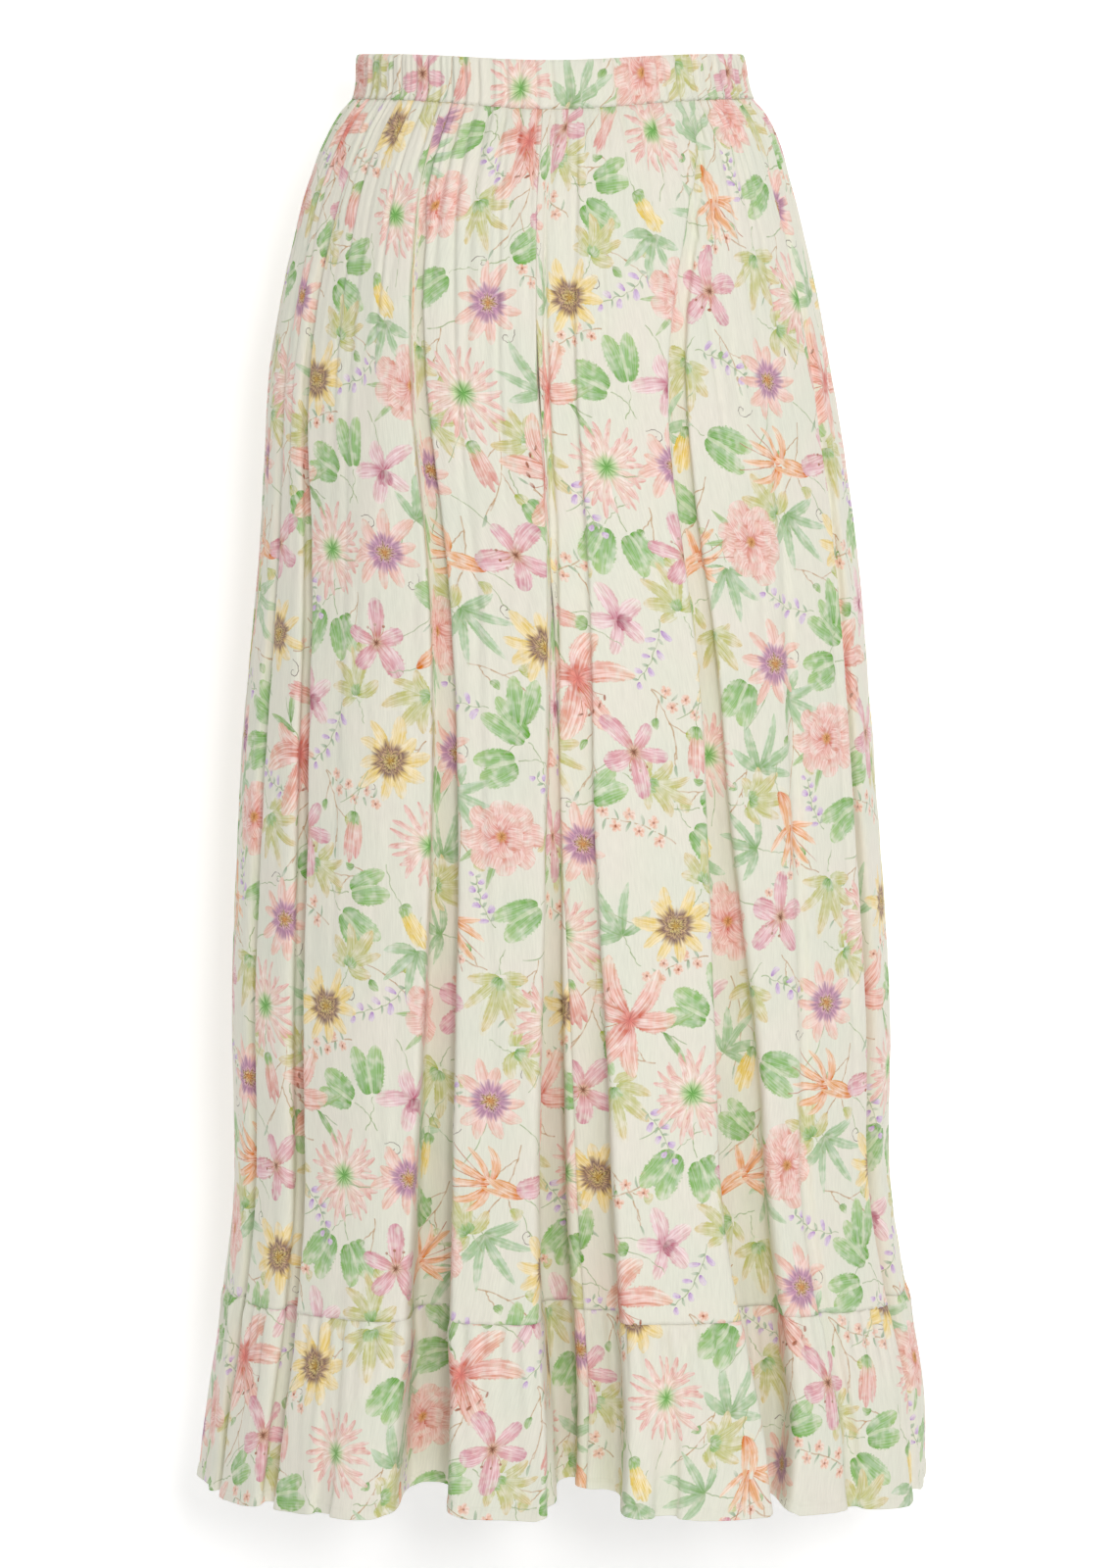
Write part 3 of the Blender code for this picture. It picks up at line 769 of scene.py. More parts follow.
    def bud(self, kind, x, y, size, turn):
        foot = self.at(x, y, turn + 180, size * 0.5)
        self.arc("green stem", *foot, turn + 176, 6, 7, 5)
        self.fan(kind, foot, turn, size, ((-9, 0.9), (9, 0.9), (0, 1.0)))
        self.fan("dark leaf", foot, turn, size, ((-24, 0.26), (24, 0.26), (2, 0.26)))

    def pink_bud(self, *place):
        self.bud("pink bud", *place)

    def yellow_bud(self, *place):
        self.bud("yellow bud", *place)

    def heart_leaf(self, x, y, size, turn):
        foot = self.at(x, y, turn + 180, size * 0.45)
        self.arc("green stem", *foot, turn + 185, 5, 9, 5)
        for way in (-21, 21):
            start = self.at(*foot, turn + 2.5 * way, 3.0)
            self.mark("heart leaf", *start, turn + 0.5 * way, size)
        self.mark("light", *foot, turn, size * 0.8)

    def heart_pair(self, x, y, size, turn):
        self.heart_leaf(*self.at(x, y, turn + 90, size * 0.42), size, turn + 24)
        self.heart_leaf(*self.at(x, y, turn - 90, size * 0.42), size * 0.86, turn - 34)

    def whorl(self, x, y, size, turn):
        foot = self.at(x, y, turn + 180, size * 0.4)
        self.arc("green stem", *foot, turn + 180, 6, -6, 4)
        leaves = ((-82, 0.62), (-44, 0.86), (-8, 1.0), (30, 0.9), (70, 0.66))
        self.fan("blue leaf", foot, turn, size, leaves)

    def soft_leaves(self, x, y, size, turn):
        foot = self.at(x, y, turn + 180, size * 0.35)
        self.mark("wash", *self.at(*foot, turn, -6), turn + 6, size * 1.1)
        self.arc("green stem", *foot, turn + 170, 5, 8, 4)
        leaves = ((-96, 0.5), (-58, 0.74), (-26, 0.92), (8, 1.0), (40, 0.84), (78, 0.58))
        for way, length in leaves:
            self.mark("soft leaf", *foot, turn + way, size * length * 0.9)
        self.fan("dark leaf", foot, turn, size, ((-30, 0.22), (0, 0.22), (34, 0.22)))

    def bells(self, x, y, size, turn):
        start = self.at(x, y, turn + 180, size * 0.55)
        points, ways = self.arc("green stem", *start, turn - 18, size * 0.15, 6, 7)
        for number, (point, way) in enumerate(zip(points[1:], ways[1:])):
            side = 62 if number % 2 else -58
            bell = self.at(*point, way + side, 1.5)
            self.mark("sprig leaf", *point, way - side, size * 0.13)
            self.mark("bell", *bell, way + side, size * (0.20 - 0.014 * number))

    def florets(self, x, y, size, turn):
        start = self.at(x, y, turn + 180, size * 0.55)
        points, ways = self.arc("branch", *start, turn + 16, size * 0.17, -6, 6)
        for number, (point, way) in enumerate(zip(points[1:], ways[1:])):
            side = 70 if number % 2 else -66
            flower = self.at(*point, way + side, size * 0.10)
            self.mark("sprig leaf", *point, way - side, size * 0.16)
            self.ring("peach petal", *flower, way, 5, size * 0.095, lean=0.1)
            self.mark("anther", *self.at(*flower, way, -0.8), way, 1.6)


def from_start(x, y, thing):
    """How far each place is from the nearest repeat of a mark's start or an eye's middle."""
    return [(place - start + tile / 2) % tile - tile / 2
            for place, start, tile in zip((x, y), thing[:2], TILE)]


def marks_on_cloth(x, y, reach, marks):
    """For each face of the cloth, the uppermost marks that touch it, the uppermost first."""
    found = np.full((len(x), SLOTS), -1)
    used = np.zeros(len(x), dtype=int)
    closed = np.zeros(len(x), dtype=bool)
    for number, mark in reversed(list(enumerate(marks))):
        paint = PAINTS[mark.kind]
        from_x, from_y = from_start(x, y, mark)
        far = mark.length + paint.width + WIDEST_BEND
        near = np.nonzero((np.hypot(from_x, from_y) < far) & ~closed & (used < SLOTS))[0]
        turn = math.radians(mark.turn)
        along = from_x[near] * math.cos(turn) + from_y[near] * math.sin(turn)
        across = from_y[near] * math.cos(turn) - from_x[near] * math.sin(turn)
        margin = reach[near]
        share = np.clip(along / mark.length, 0.001, 0.999)
        peak = paint.rise / (paint.rise + paint.fall)
        towards = np.clip(peak - share, -margin / mark.length, margin / mark.length)
        swing = 2.0 * ((mark.seed * SWING) % 1.0) - 1.0
        arch = 4.0 * share * (1.0 - share) * paint.bend * swing
        aside = np.abs(across - arch)
        size = (SMALLEST + SIZE_RANGE * mark.seed) * full_width(paint)
        widest = size * (share + towards) ** paint.rise * (1.0 - share - towards) ** paint.fall
        narrow = size * share**paint.rise * (1.0 - share) ** paint.fall * 0.8
        touched = (along > -margin) & (along < mark.length + margin) & (aside < widest + margin)
        inner = (along > margin) & (along < mark.length - margin) & (aside < narrow - margin)
        faces = near[touched]
        found[faces, used[faces]] = number
        used[faces] += 1
        if paint.cover == 1.0:
            closed[near[inner & touched]] = True
    return found


def eyes_on_cloth(x, y, reach, eyes):
    """For each face of the cloth, the flower middle that touches it."""
    found = np.full(len(x), -1)
    for number, eye in enumerate(eyes):
        found[np.hypot(*from_start(x, y, eye)) < eye.radius + reach] = number
    return found


def read_all(items, key, kind, width=1):
    """One number, or a row of them, from each of a mesh's items."""
    values = np.zeros(len(items) * width, dtype=kind)
    items.foreach_get(key, values)
    return values


def write_corners(mesh, name, x, y, z):
    """Stores three numbers at every face corner."""
    layer = mesh.attributes.new(name, "FLOAT_VECTOR", "CORNER")
    layer.data.foreach_set("vector", np.stack((x, y, z), axis=-1).astype(np.float32).ravel())


def print_on(piece, cloth_x, cloth_y, design):
    """Lays the print on a piece: for each face, where its corners are on each mark."""
    mesh = piece.data
    rows, columns = cloth_x.shape[0] - 1, cloth_x.shape[1] - 1
    place = read_all(mesh.attributes["place"].data, "vector", float, 3).reshape(-1, 3)
    corner_vert = read_all(mesh.loops, "vertex_index", int)
    face_size = read_all(mesh.polygons, "loop_total", int)
    face_start = np.concatenate(([0], np.cumsum(face_size)[:-1]))
    face_of = np.repeat(np.arange(len(face_size)), face_size)
    column, row = place[corner_vert, :2].astype(int).T

    # A face that closes the ring has corners in the first column and in the last
    low_column = np.minimum.reduceat(column, face_start)
    high_column = np.maximum.reduceat(column, face_start)
    closing = high_column - low_column > 1
    cell_column = np.where(closing, high_column, np.minimum(low_column, columns - 1))
    cell_row = np.minimum(np.minimum.reduceat(row, face_start), rows - 1)
    cell = (cell_row * columns + np.minimum(cell_column, columns - 1))[face_of]
    column = np.where(closing[face_of] & (column == 0), columns, column)
    corners = cloth_x[row, column] * MM, cloth_y[row, column] * MM

    x, y = (((cloth[:-1, :-1] + cloth[1:, 1:]) * MM / 2).ravel() for cloth in (cloth_x, cloth_y))
    spread = np.hypot(np.diff(cloth_x, axis=1)[:-1], np.diff(cloth_y, axis=0)[:, :-1])
    reach = np.clip(spread.ravel() * MM / 2 + 0.5, 0.5, 5.0)

    def from_repeat(things):
        """How far the corners are from the repeat that is nearest to their face."""
        return [corner - (start + tile * np.round((middle[cell] - start) / tile))
                for corner, middle, start, tile in zip(corners, (x, y), things.T, TILE)]

    marks = np.array([(*mark[:4], mark.kind + mark.seed) for mark in design.marks])
    found = marks_on_cloth(x, y, reach, design.marks)
    for slot in range(SLOTS):
        number = found[cell, slot]
        mark = marks[number]
        from_x, from_y = from_repeat(mark)
        cosine, sine = np.cos(np.radians(mark[:, 2])), np.sin(np.radians(mark[:, 2]))
        along = (from_x * cosine + from_y * sine) / mark[:, 3]
        along[number < 0] = -FAR_OFF
        write_corners(mesh, f"mark_{slot}", along, from_y * cosine - from_x * sine, mark[:, 4])

    eyes = np.array([(*eye[:3], eye.kind + eye.seed) for eye in design.eyes])
    number = eyes_on_cloth(x, y, reach, design.eyes)[cell]
    eye = eyes[number]
    from_x, from_y = from_repeat(eye)
    from_x[number < 0] = FAR_OFF * eye[number < 0, 2]
    write_corners(mesh, "eye", from_x / eye[:, 2], from_y / eye[:, 2], eye[:, 3])
    write_corners(mesh, "cloth", *corners, place[corner_vert, 2])
    mesh.attributes.remove(mesh.attributes["place"])


def steps_along(points):
    """The length of each step along the rows of a grid of points."""
    return np.linalg.norm(np.diff(points, axis=1), axis=2)


def sums_from(start, steps):
    """A start for each row, then its running sums."""
    return np.concatenate((start, start + np.cumsum(steps, axis=1)), axis=1)


def cloth_across(base, angles, drops, top_share):
    """How far across the cut cloth each place is: along the folds, plus what they hide."""
    steps = steps_along(base)
    arc = steps.sum(axis=1, keepdims=True)
    full = float(arc[-1, 0])
    down = (drops - drops[0]) / (drops[-1] - drops[0])
    width = full * (top_share + (1.0 - top_share) * down)[:, None]
    around = (angles[:, 1:] + angles[:, :-1]) / 2
    level = np.repeat(drops[:, None], around.shape[1], axis=1)
    turned = around + middle_drift(around, level)
    tucked = np.full(around.shape, 1e-6)
    for fold in FOLDS:
        across, low_wall, high_wall, deep, _ = fold_at(fold, turned, level)
        spare = np.maximum(fold.depths[SEAM_LEVEL] - deep, 0.0) + 4.0
        foot = 1.0 - high_wall if fold.lean > 0 else low_wall
        tucked += spare * hump(across - foot, 0.10)
    valleys = gather_valleys(around)
    gathered = np.exp(-np.maximum(level - BAND_SEAM, 0.0) / GATHERS_HIDE_TO)
    share = (1.0 - gathered) * tucked / tucked.sum(axis=1, keepdims=True)
    share = share + gathered * valleys / valleys.sum(axis=1, keepdims=True)
    taken = steps * np.minimum(width / arc, 1.0) + np.maximum(width - arc, 0.0) * share
    return sums_from((full - width) / 2, taken)


def even_arc_angles(start, end, columns, drops, under):
    """Angles of the columns of each row, evenly spaced along the folded cloth."""
    fine = np.linspace(start, end, 4 * columns + 1)
    points = hung_surface(*np.meshgrid(fine, drops), under)
    arc = sums_from(np.zeros((len(drops), 1)), steps_along(points))
    share = np.linspace(0.0, 1.0, columns + 1)
    rows = [np.interp(share, row / row[-1], fine) for row in arc]
    return np.array(rows), arc[:, -1]


def level_normals(points):
    """Level directions square to the cloth, pointing out."""
    around = np.gradient(points, axis=1)
    length = np.hypot(around[..., 0], around[..., 1])
    normal = np.zeros_like(points)
    normal[..., 0] = around[..., 1] / length
    normal[..., 1] = -around[..., 0] / length
    return normal


def body_rows(count):
    """Drops of a panel's rows, closer together at the two seams."""
    share = np.linspace(0.0, 1.0, count + 1)
    bunched = share - 0.07 * np.sin(2 * np.pi * share) / (2 * np.pi) * 4
    drops = BAND_SEAM + (FRILL_SEAM - BAND_SEAM) * bunched
    drops[0] -= TUCKED_IN
    return drops


def frill_rows(count):
    """Drops of the frill's rows, closest together in its turned hem."""
    hem_starts = HEM - HEM_ROWS_START
    upper = np.linspace(0.0, 1.0, count - HEM_ROWS + 1)[:-1]
    top = FRILL_SEAM + (hem_starts - FRILL_SEAM) * upper**1.15
    top[0] -= TUCKED_IN
    return np.concatenate((top, np.linspace(hem_starts, HEM, HEM_ROWS + 1)))


def in_scene(name, data):
    """A new object, linked to the scene."""
    thing = bpy.data.objects.new(name, data)
    bpy.context.scene.collection.objects.link(thing)
    return thing


def smooth_object(name, shape):
    """An object made from a finished shape."""
    mesh = bpy.data.meshes.new(name)
    shape.to_mesh(mesh)
    shape.free()
    mesh.shade_smooth()
    return in_scene(name, mesh)


def new_verts(grown):
    """The vertices that an extrusion has added."""
    return [item for item in grown["geom"] if isinstance(item, bmesh.types.BMVert)]


def cloth_grid(name, columns, rows, outer, inner, ring=False):
    """A closed thin wall over a grid, its outer and inner points given row by row."""
    shape = bmesh.new()
    place = shape.verts.layers.float_vector.new("place")
    bmesh.ops.create_grid(shape, x_segments=columns, y_segments=rows, size=0.5)
    inside = set(new_verts(bmesh.ops.extrude_face_region(shape, geom=shape.faces[:])))
    if ring:
        ends = [face for face in shape.faces
                if len({round(vert.co.x * columns) for vert in face.verts}) == 1]
        bmesh.ops.delete(shape, geom=ends, context="FACES")
    for vert in shape.verts:
        column = round((vert.co.x + 0.5) * columns)
        row = round((0.5 - vert.co.y) * rows)
        vert[place] = (column, row, vert in inside)
        vert.co = (inner if vert in inside else outer)[row, column]
    if ring:
        bmesh.ops.remove_doubles(shape, verts=shape.verts[:], dist=1e-6)
    bmesh.ops.recalc_face_normals(shape, faces=shape.faces[:])
    return smooth_object(name, shape)


def sewn_in(piece, node, cloth, looks):
    """Prints a finished piece and sets it in the frame, in place of its CAD node."""
    material, design = looks
    across, down = (along + shift / MM for along, shift in zip(cloth, PRINT_SHIFT[node]))
    print_on(piece, across, down, design)
    piece.data.materials.append(material)
    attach(piece, "root")
    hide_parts(node)


def build_panels(looks):
    """Two backs, the two lapped fronts, and the frill below each."""
    for name, start, end, under, (columns, rows) in CUTS:
        lengths = (
            (name, body_rows(rows), PANEL_TOP_SHARE, FRILL_SEAM - BAND_SEAM, "waistband_cloth"),
            ("frill_" + name, frill_rows(FRILL_ROWS), 1.0, HEM + HEM_TURN - FRILL_SEAM,
             name + "_cloth"),
        )
        for node, drops, top_share, height, hung_from in lengths:
            angles, arcs = even_arc_angles(start, end, columns, drops, under)
            down = np.repeat(drops[:, None], columns + 1, axis=1)
            base = hung_surface(angles, down, under)
            normal = level_normals(base)
            outer = base + normal * fine_height(angles, down, start, end)[..., None]
            inner = outer - normal * CREPE_WALL
            piece = cloth_grid(node + "_cloth", columns, len(drops) - 1, outer, inner)
            cloth = cloth_across(base, angles, drops, top_share), down
            sewn_in(piece, node, cloth, looks)


def build_waistband(looks):
    """The closed casing: gathered cloth over the elastic, with a soft rolled top."""
    columns, rows = BAND_GRID
    height = BAND_SEAM - BAND_TOP
    drops = BAND_TOP + height * np.linspace(0.0, 1.0, rows + 1) ** 1.5
    angles = np.linspace(-SIDE_SEAM, FULL_TURN - SIDE_SEAM, columns + 1)
    around, down = np.meshgrid(angles, drops)
    base = hung_surface(around, down)
    normal = level_normals(base)
    normal[:, 0] = normal[:, -1] = (normal[:, 1] + normal[:, -2]) / 2
    uneven = 1.0 + BAND_HEIGHT_VARIES * level_ripple(around, *UNEVEN_HEIGHT)
    gathers = BAND_GATHER * uneven * gather_wave(around, *WAIST_GATHERS)
    gathers = gathers + BAND_SMALL_GATHER * uneven * gather_wave(around, *SMALL_GATHERS)
    share = (down - BAND_TOP) / height
    crown = BAND_CROWN * ((4 * share * (1 - share)) ** 0.5 - 1.0) * (1.0 - 0.75 * share)
    near_top = np.clip(1.0 - share * height / (BAND_WALL / 2), 0.0, 0.97)
    rolled = (1.0 - np.sqrt(1.0 - near_top**2)) * BAND_WALL / 2
    outer = base + normal * (gathers + crown - rolled)[..., None]
    inner = base + normal * (gathers + crown - BAND_WALL + rolled)[..., None]
    band = cloth_grid("waistband_cloth", columns, rows, outer, inner, ring=True)
    steps = steps_along(base)
    valleys = gather_valleys((around[:, 1:] + around[:, :-1]) / 2)
    hidden = (BAND_FULLNESS - 1.0) * steps.sum(axis=1, keepdims=True)
    taken = steps + hidden * valleys / valleys.sum(axis=1, keepdims=True)
    cloth = sums_from(np.zeros((rows + 1, 1)), taken), down
    sewn_in(band, "waistband", cloth, looks)


def to_linear(colour):
    """A colour from its sRGB hex value, as Blender's linear one."""
    parts = [int(colour[i:i + 2], 16) / 255 for i in (1, 3, 5)]
    return [c / 12.92 if c <= 0.04045 else ((c + 0.055) / 1.055) ** 2.4 for c in parts] + [1.0]


# The setting that the word after a node's kind stands for
MODES = {"Math": "operation", "VectorMath": "operation", "MapRange": "interpolation_type"}


def add_node(tree, kind, *inputs, **named):
    """A node with its inputs in order, then those with a capital by name, and its settings.

    An input is a value, a socket, or a node for its first output.
    """
    kind, _, mode = kind.partition(" ")
    node = tree.nodes.new("ShaderNode" + kind)
    settings = {name: value for name, value in named.items() if name.islower()}
    if mode:
        settings[MODES[kind]] = mode
    for name, value in settings.items():
        setattr(node, name, value)
    by_name = [(name, value) for name, value in named.items() if not name.islower()]
    for key, value in [*enumerate(inputs), *by_name]:
        if isinstance(value, bpy.types.Node):
            value = value.outputs[0]
        if isinstance(value, bpy.types.NodeSocket):
            tree.links.new(value, node.inputs[key])
        else:
            node.inputs[key].default_value = value
    return node


def node_group(name, **takes):
    """An empty group that gives a colour and a cover, and the sockets that it takes."""
    tree = bpy.data.node_groups.new(name, "ShaderNodeTree")
    gives = {"Colour": "Color", "Cover": "Float"}
    for way, sockets in (("INPUT", takes), ("OUTPUT", gives)):
        for label, kind in sockets.items():
            tree.interface.new_socket(label, in_out=way, socket_type="NodeSocket" + kind)
    return tree, tree.nodes.new("NodeGroupInput").outputs[:len(takes)]


def give_back(tree, *nodes):
    """Links the nodes to what a group gives."""
    given = tree.nodes.new("NodeGroupOutput").inputs
    for node, socket in zip(nodes, given):
        tree.links.new(node.outputs[0], socket)
    return tree


def colour_stops(node, stops, interpolation="CONSTANT"):
    """Fills a Color Ramp from rows of place, colour and alpha."""
    ramp = node.color_ramp
    ramp.interpolation = interpolation
    while len(ramp.elements) < len(stops):
        ramp.elements.new(0.5)
    for element, (place, _, _) in zip(ramp.elements, stops):
        element.position = place
    for element, (_, colour, alpha) in zip(ramp.elements, stops):
        linear = to_linear(colour) if isinstance(colour, str) else colour
        element.color = (*linear[:3], alpha)


def brush_group():
    """One painted mark: from how far along and across it a point is, its colour and cover."""
    tree, given = node_group("painted_mark", Mark="Vector", Unevenness="Float", Thinness="Float")
    mark, unevenness, thinness = given
    add = partial(add_node, tree)
    along, across, code = add("SeparateXYZ", mark).outputs
    kind = add("Math FLOOR", code)
    seed = add("Math FRACT", code)

    # The paint's own numbers and colours, one stop for each paint
    place = add("Math MULTIPLY_ADD", kind, 1 / RAMP_STOPS, 0.5 / RAMP_STOPS)
    shape, root, middle, tip = (add("ValToRGB", place) for _ in range(4))
    paints = [(number / RAMP_STOPS, paint) for number, paint in enumerate(PAINTS)]
    colour_stops(shape, [(at, (p.rise, p.fall, full_width(p) / WIDEST_MARK), p.bend / WIDEST_BEND)
                         for at, p in paints])
    colour_stops(root, [(at, p.root, p.streak) for at, p in paints])
    colour_stops(middle, [(at, p.middle, p.cover) for at, p in paints])
    colour_stops(tip, [(at, p.tip, p.edge) for at, p in paints])
    rise, fall, width = add("SeparateColor", shape).outputs
    bend, streaky, covers, pools = (ramp.outputs["Alpha"] for ramp in (shape, root, middle, tip))

    # Its bowed middle line, and its half width there
    inside = add("Math MINIMUM", add("Math MAXIMUM", along, 0.0005), 0.9995)
    rest = add("Math SUBTRACT", 1.0, inside)
    swing = add("Math FRACT", add("Math MULTIPLY", seed, SWING))
    swing = add("Math MULTIPLY_ADD", swing, 2.0, -1.0)
    arch = add("Math MULTIPLY", add("Math MULTIPLY", inside, rest), swing)
    arch = add("Math MULTIPLY", arch, add("Math MULTIPLY", bend, 4 * WIDEST_BEND))
    bowed = add("Math SUBTRACT", across, arch)
    aside = add("Math ABSOLUTE", bowed)
    profile = add("Math MULTIPLY", add("Math POWER", inside, rise), add("Math POWER", rest, fall))
    size = add("Math MULTIPLY_ADD", seed, SIZE_RANGE, SMALLEST)
    wide = add("Math MULTIPLY", add("Math MULTIPLY", width, size), WIDEST_MARK)
    ragged = add("Math MULTIPLY_ADD", unevenness, 0.5, 0.75)
    half = add("Math MULTIPLY", add("Math MULTIPLY", wide, profile), ragged)

    # How well it covers: soft at its edge, and thin towards its tip where paint ran out
    gap = add("Math SUBTRACT", half, aside)
    soft = add("Math MULTIPLY_ADD", half, 0.15, 0.22)
    filled = add("MapRange SMOOTHSTEP", gap, -0.10, soft)
    within = add("Math COMPARE", along, inside, 0.001)
    cover = add("Math MULTIPLY", add("Math MULTIPLY", filled, within), covers)
    late = add("MapRange SMOOTHSTEP", inside, 0.5, 1.0)
    faint = add("Math MULTIPLY_ADD", add("Math MULTIPLY", late, thinness), -1.1, 1.0)
    cover = add("Math MULTIPLY", cover, faint)

    # Its colour from root to tip, and how deep the paint lies: in streaks, pooled at the
    # edge, along the vein, to one side and at the root
    early = add("MapRange SMOOTHSTEP", inside, 0.0, 0.45)
    paint = add("MixRGB", late, add("MixRGB", early, root, middle), tip)
    spot = add("CombineXYZ", add("Math MULTIPLY", along, 2.6), add("Math MULTIPLY", bowed, 1.15),
               add("Math MULTIPLY", code, 3.7))
    fibre = add("TexNoise", spot, Scale=1.0, Detail=0.0)
    streak = add("MapRange", fibre, 0.35, 0.65, -1.0, 1.0)
    safe = add("Math MAXIMUM", half, 0.05)
    pooled = add("MapRange SMOOTHSTEP", add("Math DIVIDE", aside, safe), 0.72, 1.0)
    vein = add("MapRange SMOOTHSTEP", aside, 0.45, 0.1, 0.0, 0.5)
    deep_root = add("MapRange SMOOTHSTEP", inside, 0.30, 0.0)
    depth = add("Math MULTIPLY", add("Math DIVIDE", bowed, safe), 0.55)
    for part, share in ((streak, streaky), (pooled, pools), (vein, streaky), (deep_root, pools)):
        depth = add("Math MULTIPLY_ADD", part, share, depth)
    value = add("Math MULTIPLY_ADD", depth, -0.10, 1.0)
    strong = add("Math MULTIPLY_ADD", depth, 0.30, 1.0)
    paint = add("MixRGB", thinness, paint, to_linear(THIN_PAINT))
    final = add("HueSaturation", Saturation=strong, Value=value, Color=paint)
    return give_back(tree, final, cover)


def flower_eye_group():
    """The round middle of a flower: rings of colour from the centre out, cut into fine rays."""
    tree, given = node_group("flower_eye", Eye="Vector")
    add = partial(add_node, tree)
    x, y, code = add("SeparateXYZ", *given).outputs
    flat = add("CombineXYZ", x, y, 0.0)
    radius = add("VectorMath LENGTH", flat).outputs["Value"]
    kind = add("Math FLOOR", code)
    ray_x, ray_y, _ = add("SeparateXYZ", add("VectorMath NORMALIZE", flat)).outputs
    spot = add("CombineXYZ", add("Math MULTIPLY", ray_x, 6.0), add("Math MULTIPLY", ray_y, 6.0),
               add("Math MULTIPLY_ADD", radius, 0.9, code))
    rays = add("TexNoise", spot, Scale=1.0, Detail=1.0)
    reach = add("Math ADD", radius, add("MapRange", rays, 0.3, 0.7, -0.16, 0.16))
    colour, cover = None, None
    for number, rings in enumerate(EYES.values()):
        ramp = add("ValToRGB", reach)
        colour_stops(ramp, rings, "LINEAR")
        if colour is None:
            colour, cover = ramp.outputs
        else:
            chosen = add("Math COMPARE", kind, float(number), 0.1)
            colour = add("MixRGB", chosen, colour, ramp)
            cover = add("MixRGB", chosen, cover, ramp.outputs["Alpha"])
    value = add("MapRange", rays, 0.35, 0.65, 0.78, 1.18)
    final = add("HueSaturation", Value=value, Color=colour)
    shown = add("Math MULTIPLY", cover, add("Math LESS_THAN", radius, 1.0))
    return give_back(tree, final, shown)


def new_material(name, finish):
    """A material, its nodes and its shader, with the shader's own sockets set."""
    material = bpy.data.materials.new(name)
    material.use_nodes = True
    shader = material.node_tree.nodes["Principled BSDF"]
    for socket, value in finish.items():
        shader.inputs[socket].default_value = value
    return material, material.node_tree, shader


def printed_crepe():
    """Printed viscose crepe: a matt cloth of twisted yarn with a fine lengthwise crinkle.

    The print is soft pastel flowers laid as separate painted marks on a cream ground.
    """
    material, tree, shader = new_material("printed_viscose_crepe", {
        "Roughness": 0.82, "Specular IOR Level": 0.25, "Sheen Weight": 0.10, "Sheen Roughness": 0.5,
    })
    add = partial(add_node, tree)
    cloth = add("Attribute", attribute_name="cloth").outputs["Vector"]
    across, down, wrong_side = add("SeparateXYZ", cloth).outputs
    flat = add("CombineXYZ", across, down, 0.0)
    uneven = add("TexNoise", flat, Scale=0.55, Detail=1.0)
    patchy = add("TexNoise", flat, Scale=0.16, Detail=1.0)
    thin = add("MapRange SMOOTHSTEP", patchy, 0.40, 0.75, 0.10, 0.50)
    painted = add("ValToRGB", add("TexNoise", flat, Scale=0.022, Detail=0.0))
    colour_stops(painted, GROUND, "LINEAR")
    brush = brush_group()
    for slot in reversed(range(SLOTS)):
        mark = add("Attribute", attribute_name=f"mark_{slot}").outputs["Vector"]
        stroke, cover = add("Group", mark, uneven, thin, node_tree=brush).outputs
        painted = add("MixRGB", cover, painted, stroke)
    spot = add("Attribute", attribute_name="eye").outputs["Vector"]
    eye, cover = add("Group", spot, node_tree=flower_eye_group()).outputs
    painted = add("MixRGB", cover, painted, eye)
    faded = add("Math MULTIPLY", wrong_side, 0.4)
    painted = add("MixRGB", faded, painted, to_linear(CREAM))

    yarn = add("VectorMath MULTIPLY", flat, CRINKLE_SCALE)
    crinkle = add("TexNoise", yarn, Scale=1.0, Detail=1.0, Roughness=0.6)
    # Painted shade of the crinkle: the colour is a little darker where the crinkle sinks and
    # lighter where it rises
    crinkle_painted_shade = add("MapRange", crinkle, 0.3, 0.7, 0.965, 1.03)
    final = add("HueSaturation", Value=crinkle_painted_shade, Color=painted)
    weave = add("VectorMath MULTIPLY", flat, WEAVE_SCALE)
    threads = add("TexNoise", weave, Scale=1.0, Detail=0.0)
    height = add("Math MULTIPLY_ADD", threads, 0.35, crinkle)
    bump = add("Bump", Height=height, Strength=0.35, Distance=0.0006)
    tree.links.new(final.outputs[0], shader.inputs["Base Color"])
    tree.links.new(bump.outputs[0], shader.inputs["Normal"])
    return material


def paper(name, glow):
    """Matt white paper, seen through from behind so that it never hides the skirt."""
    material, tree, shader = new_material(name, {
        "Base Color": to_linear("#FBFBFB"), "Roughness": 0.95, "Specular IOR Level": 0.0,
        "Emission Color": to_linear(WHITE), "Emission Strength": glow,
    })
    clear = add_node(tree, "BsdfTransparent")
    side = add_node(tree, "NewGeometry").outputs["Backfacing"]
    mixed = add_node(tree, "MixShader", side, shader, clear)
    tree.links.new(mixed.outputs[0], tree.nodes["Material Output"].inputs["Surface"])
    return material


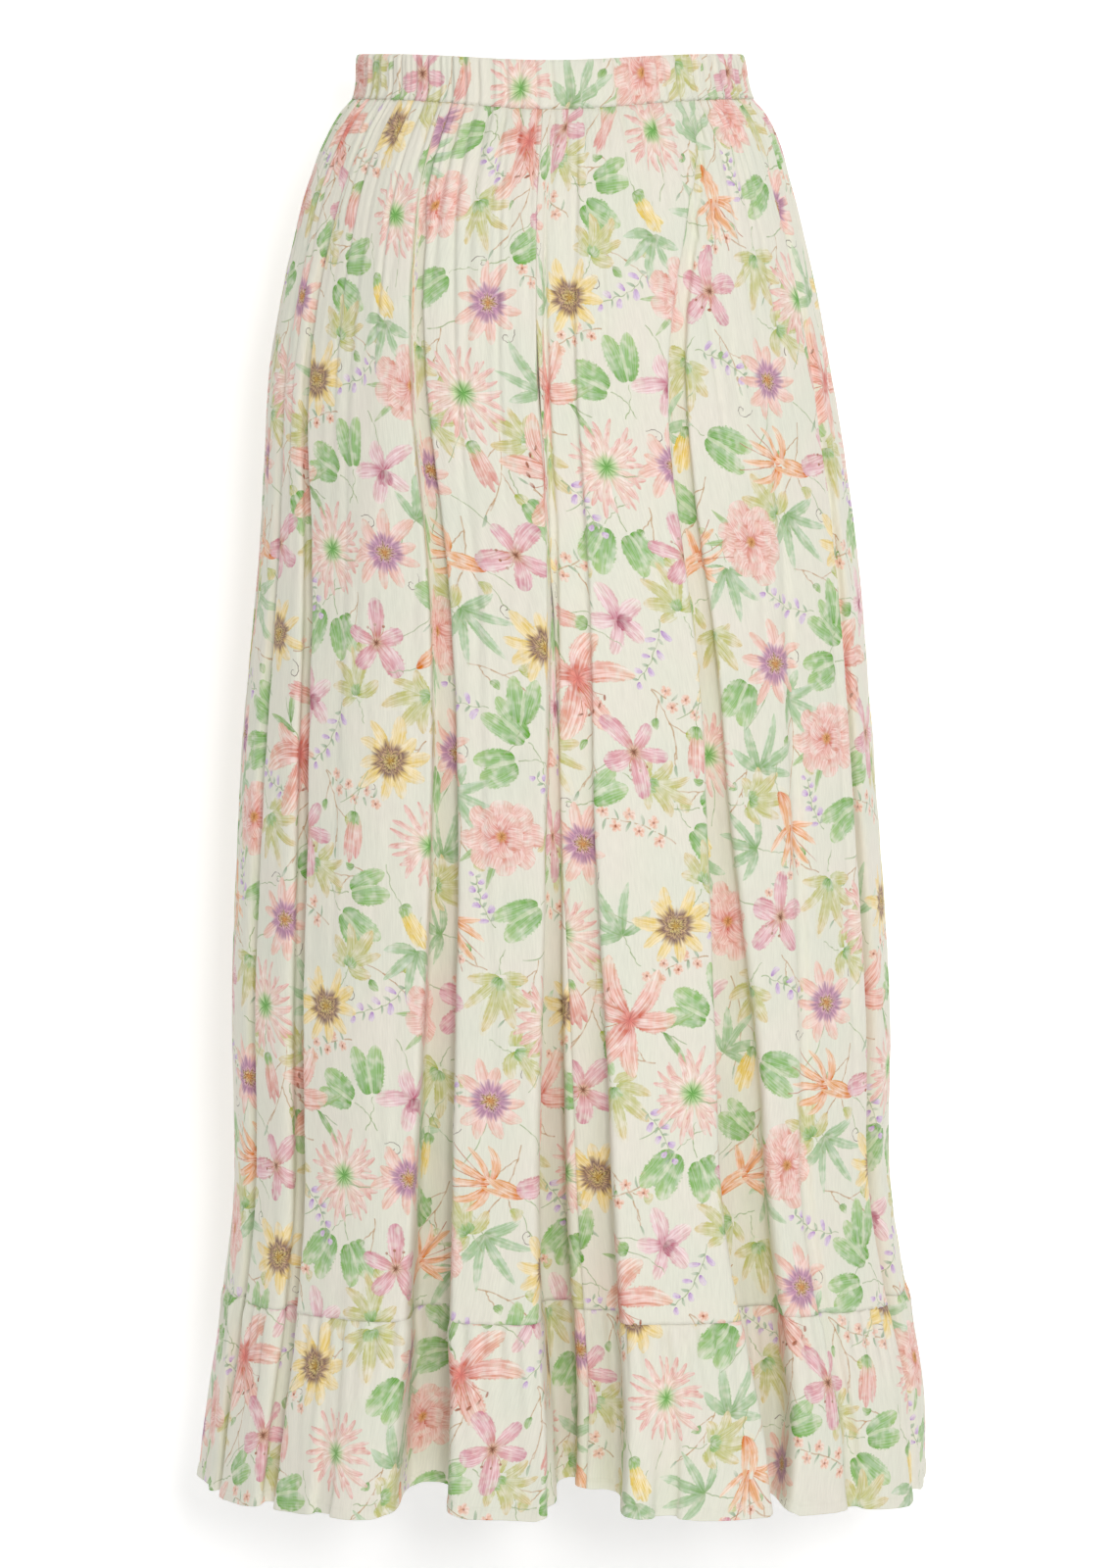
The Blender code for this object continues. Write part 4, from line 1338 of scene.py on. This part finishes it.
def paper_sweep():
    """One sheet of paper: the floor, its bend, and the upright part behind the skirt."""
    shape = bmesh.new()
    bmesh.ops.create_grid(shape, x_segments=1, y_segments=1, size=PAPER_HALF_WIDTH)
    bend_starts = 0.4
    forward = (0, bend_starts - PAPER_HALF_WIDTH, 0)
    bmesh.ops.translate(shape, verts=shape.verts[:], vec=forward)
    far = [e for e in shape.edges if all(v.co.y > 0 for v in e.verts)]
    bmesh.ops.spin(shape, geom=far, cent=(0, bend_starts, PAPER_BEND), axis=(1, 0, 0),
                   angle=math.pi / 2, steps=24)
    top = [e for e in shape.edges if all(v.co.z > PAPER_BEND - 0.01 for v in e.verts)]
    raised = new_verts(bmesh.ops.extrude_edge_only(shape, edges=top))
    bmesh.ops.translate(shape, verts=raised, vec=(0, 0, PAPER_RISES))
    bmesh.ops.remove_doubles(shape, verts=shape.verts[:], dist=1e-5)
    moved = (0, PAPER_BEHIND - bend_starts - PAPER_BEND, PAPER_FLOOR)
    bmesh.ops.translate(shape, verts=shape.verts[:], vec=moved)
    bmesh.ops.recalc_face_normals(shape, faces=shape.faces[:])
    shape.normal_update()
    if max(shape.faces, key=lambda face: face.calc_center_median().z).normal.y > 0:
        bmesh.ops.reverse_faces(shape, faces=shape.faces[:])
    for face in shape.faces:
        face.material_index = 0 if face.calc_center_median().z < PAPER_FLOOR + 0.25 else 1
    floor = smooth_object("paper_floor", shape)
    floor.data.materials.append(paper("matt_white_paper", 0.0))
    floor.data.materials.append(paper("lit_white_paper", PAPER_GLOW))


def studio():
    """White paper behind and below the skirt, two soft lamps and an even fill."""
    paper_sweep()
    for name, place, size, watts in LAMPS:
        light = bpy.data.lights.new(name, "AREA")
        light.shape = "DISK"
        light.size = size
        light.energy = watts
        aim(in_scene(name, light), place, LAMPS_AIM)

    world = bpy.data.worlds.new("even_fill")
    world.use_nodes = True
    fill = world.node_tree.nodes["Background"]
    fill.inputs["Color"].default_value = to_linear(WHITE)
    fill.inputs["Strength"].default_value = FILL_STRENGTH
    bpy.context.scene.world = world


def aim(thing, place, target):
    """Sets a camera or light at its place and turns it towards a point."""
    away = np.array(target) - np.array(place)
    flat = math.hypot(away[0], away[1])
    thing.location = place
    thing.rotation_euler = (math.atan2(flat, -away[2]), 0.0, math.atan2(-away[0], away[1]))


def photo_camera():
    """The camera at the photograph's place, with its long side vertical."""
    lens = bpy.data.cameras.new("photo_camera")
    lens.sensor_width = SENSOR
    lens.lens = LENS
    lens.clip_end = 50.0
    camera = in_scene("photo_camera", lens)
    aim(camera, CAMERA_PLACE, CAMERA_AIM)
    bpy.context.scene.camera = camera


photo_camera()
crepe_and_print = (printed_crepe(), PrintDesign())
build_waistband(crepe_and_print)
build_panels(crepe_and_print)
studio()
bpy.context.scene.view_settings.view_transform = "Standard"
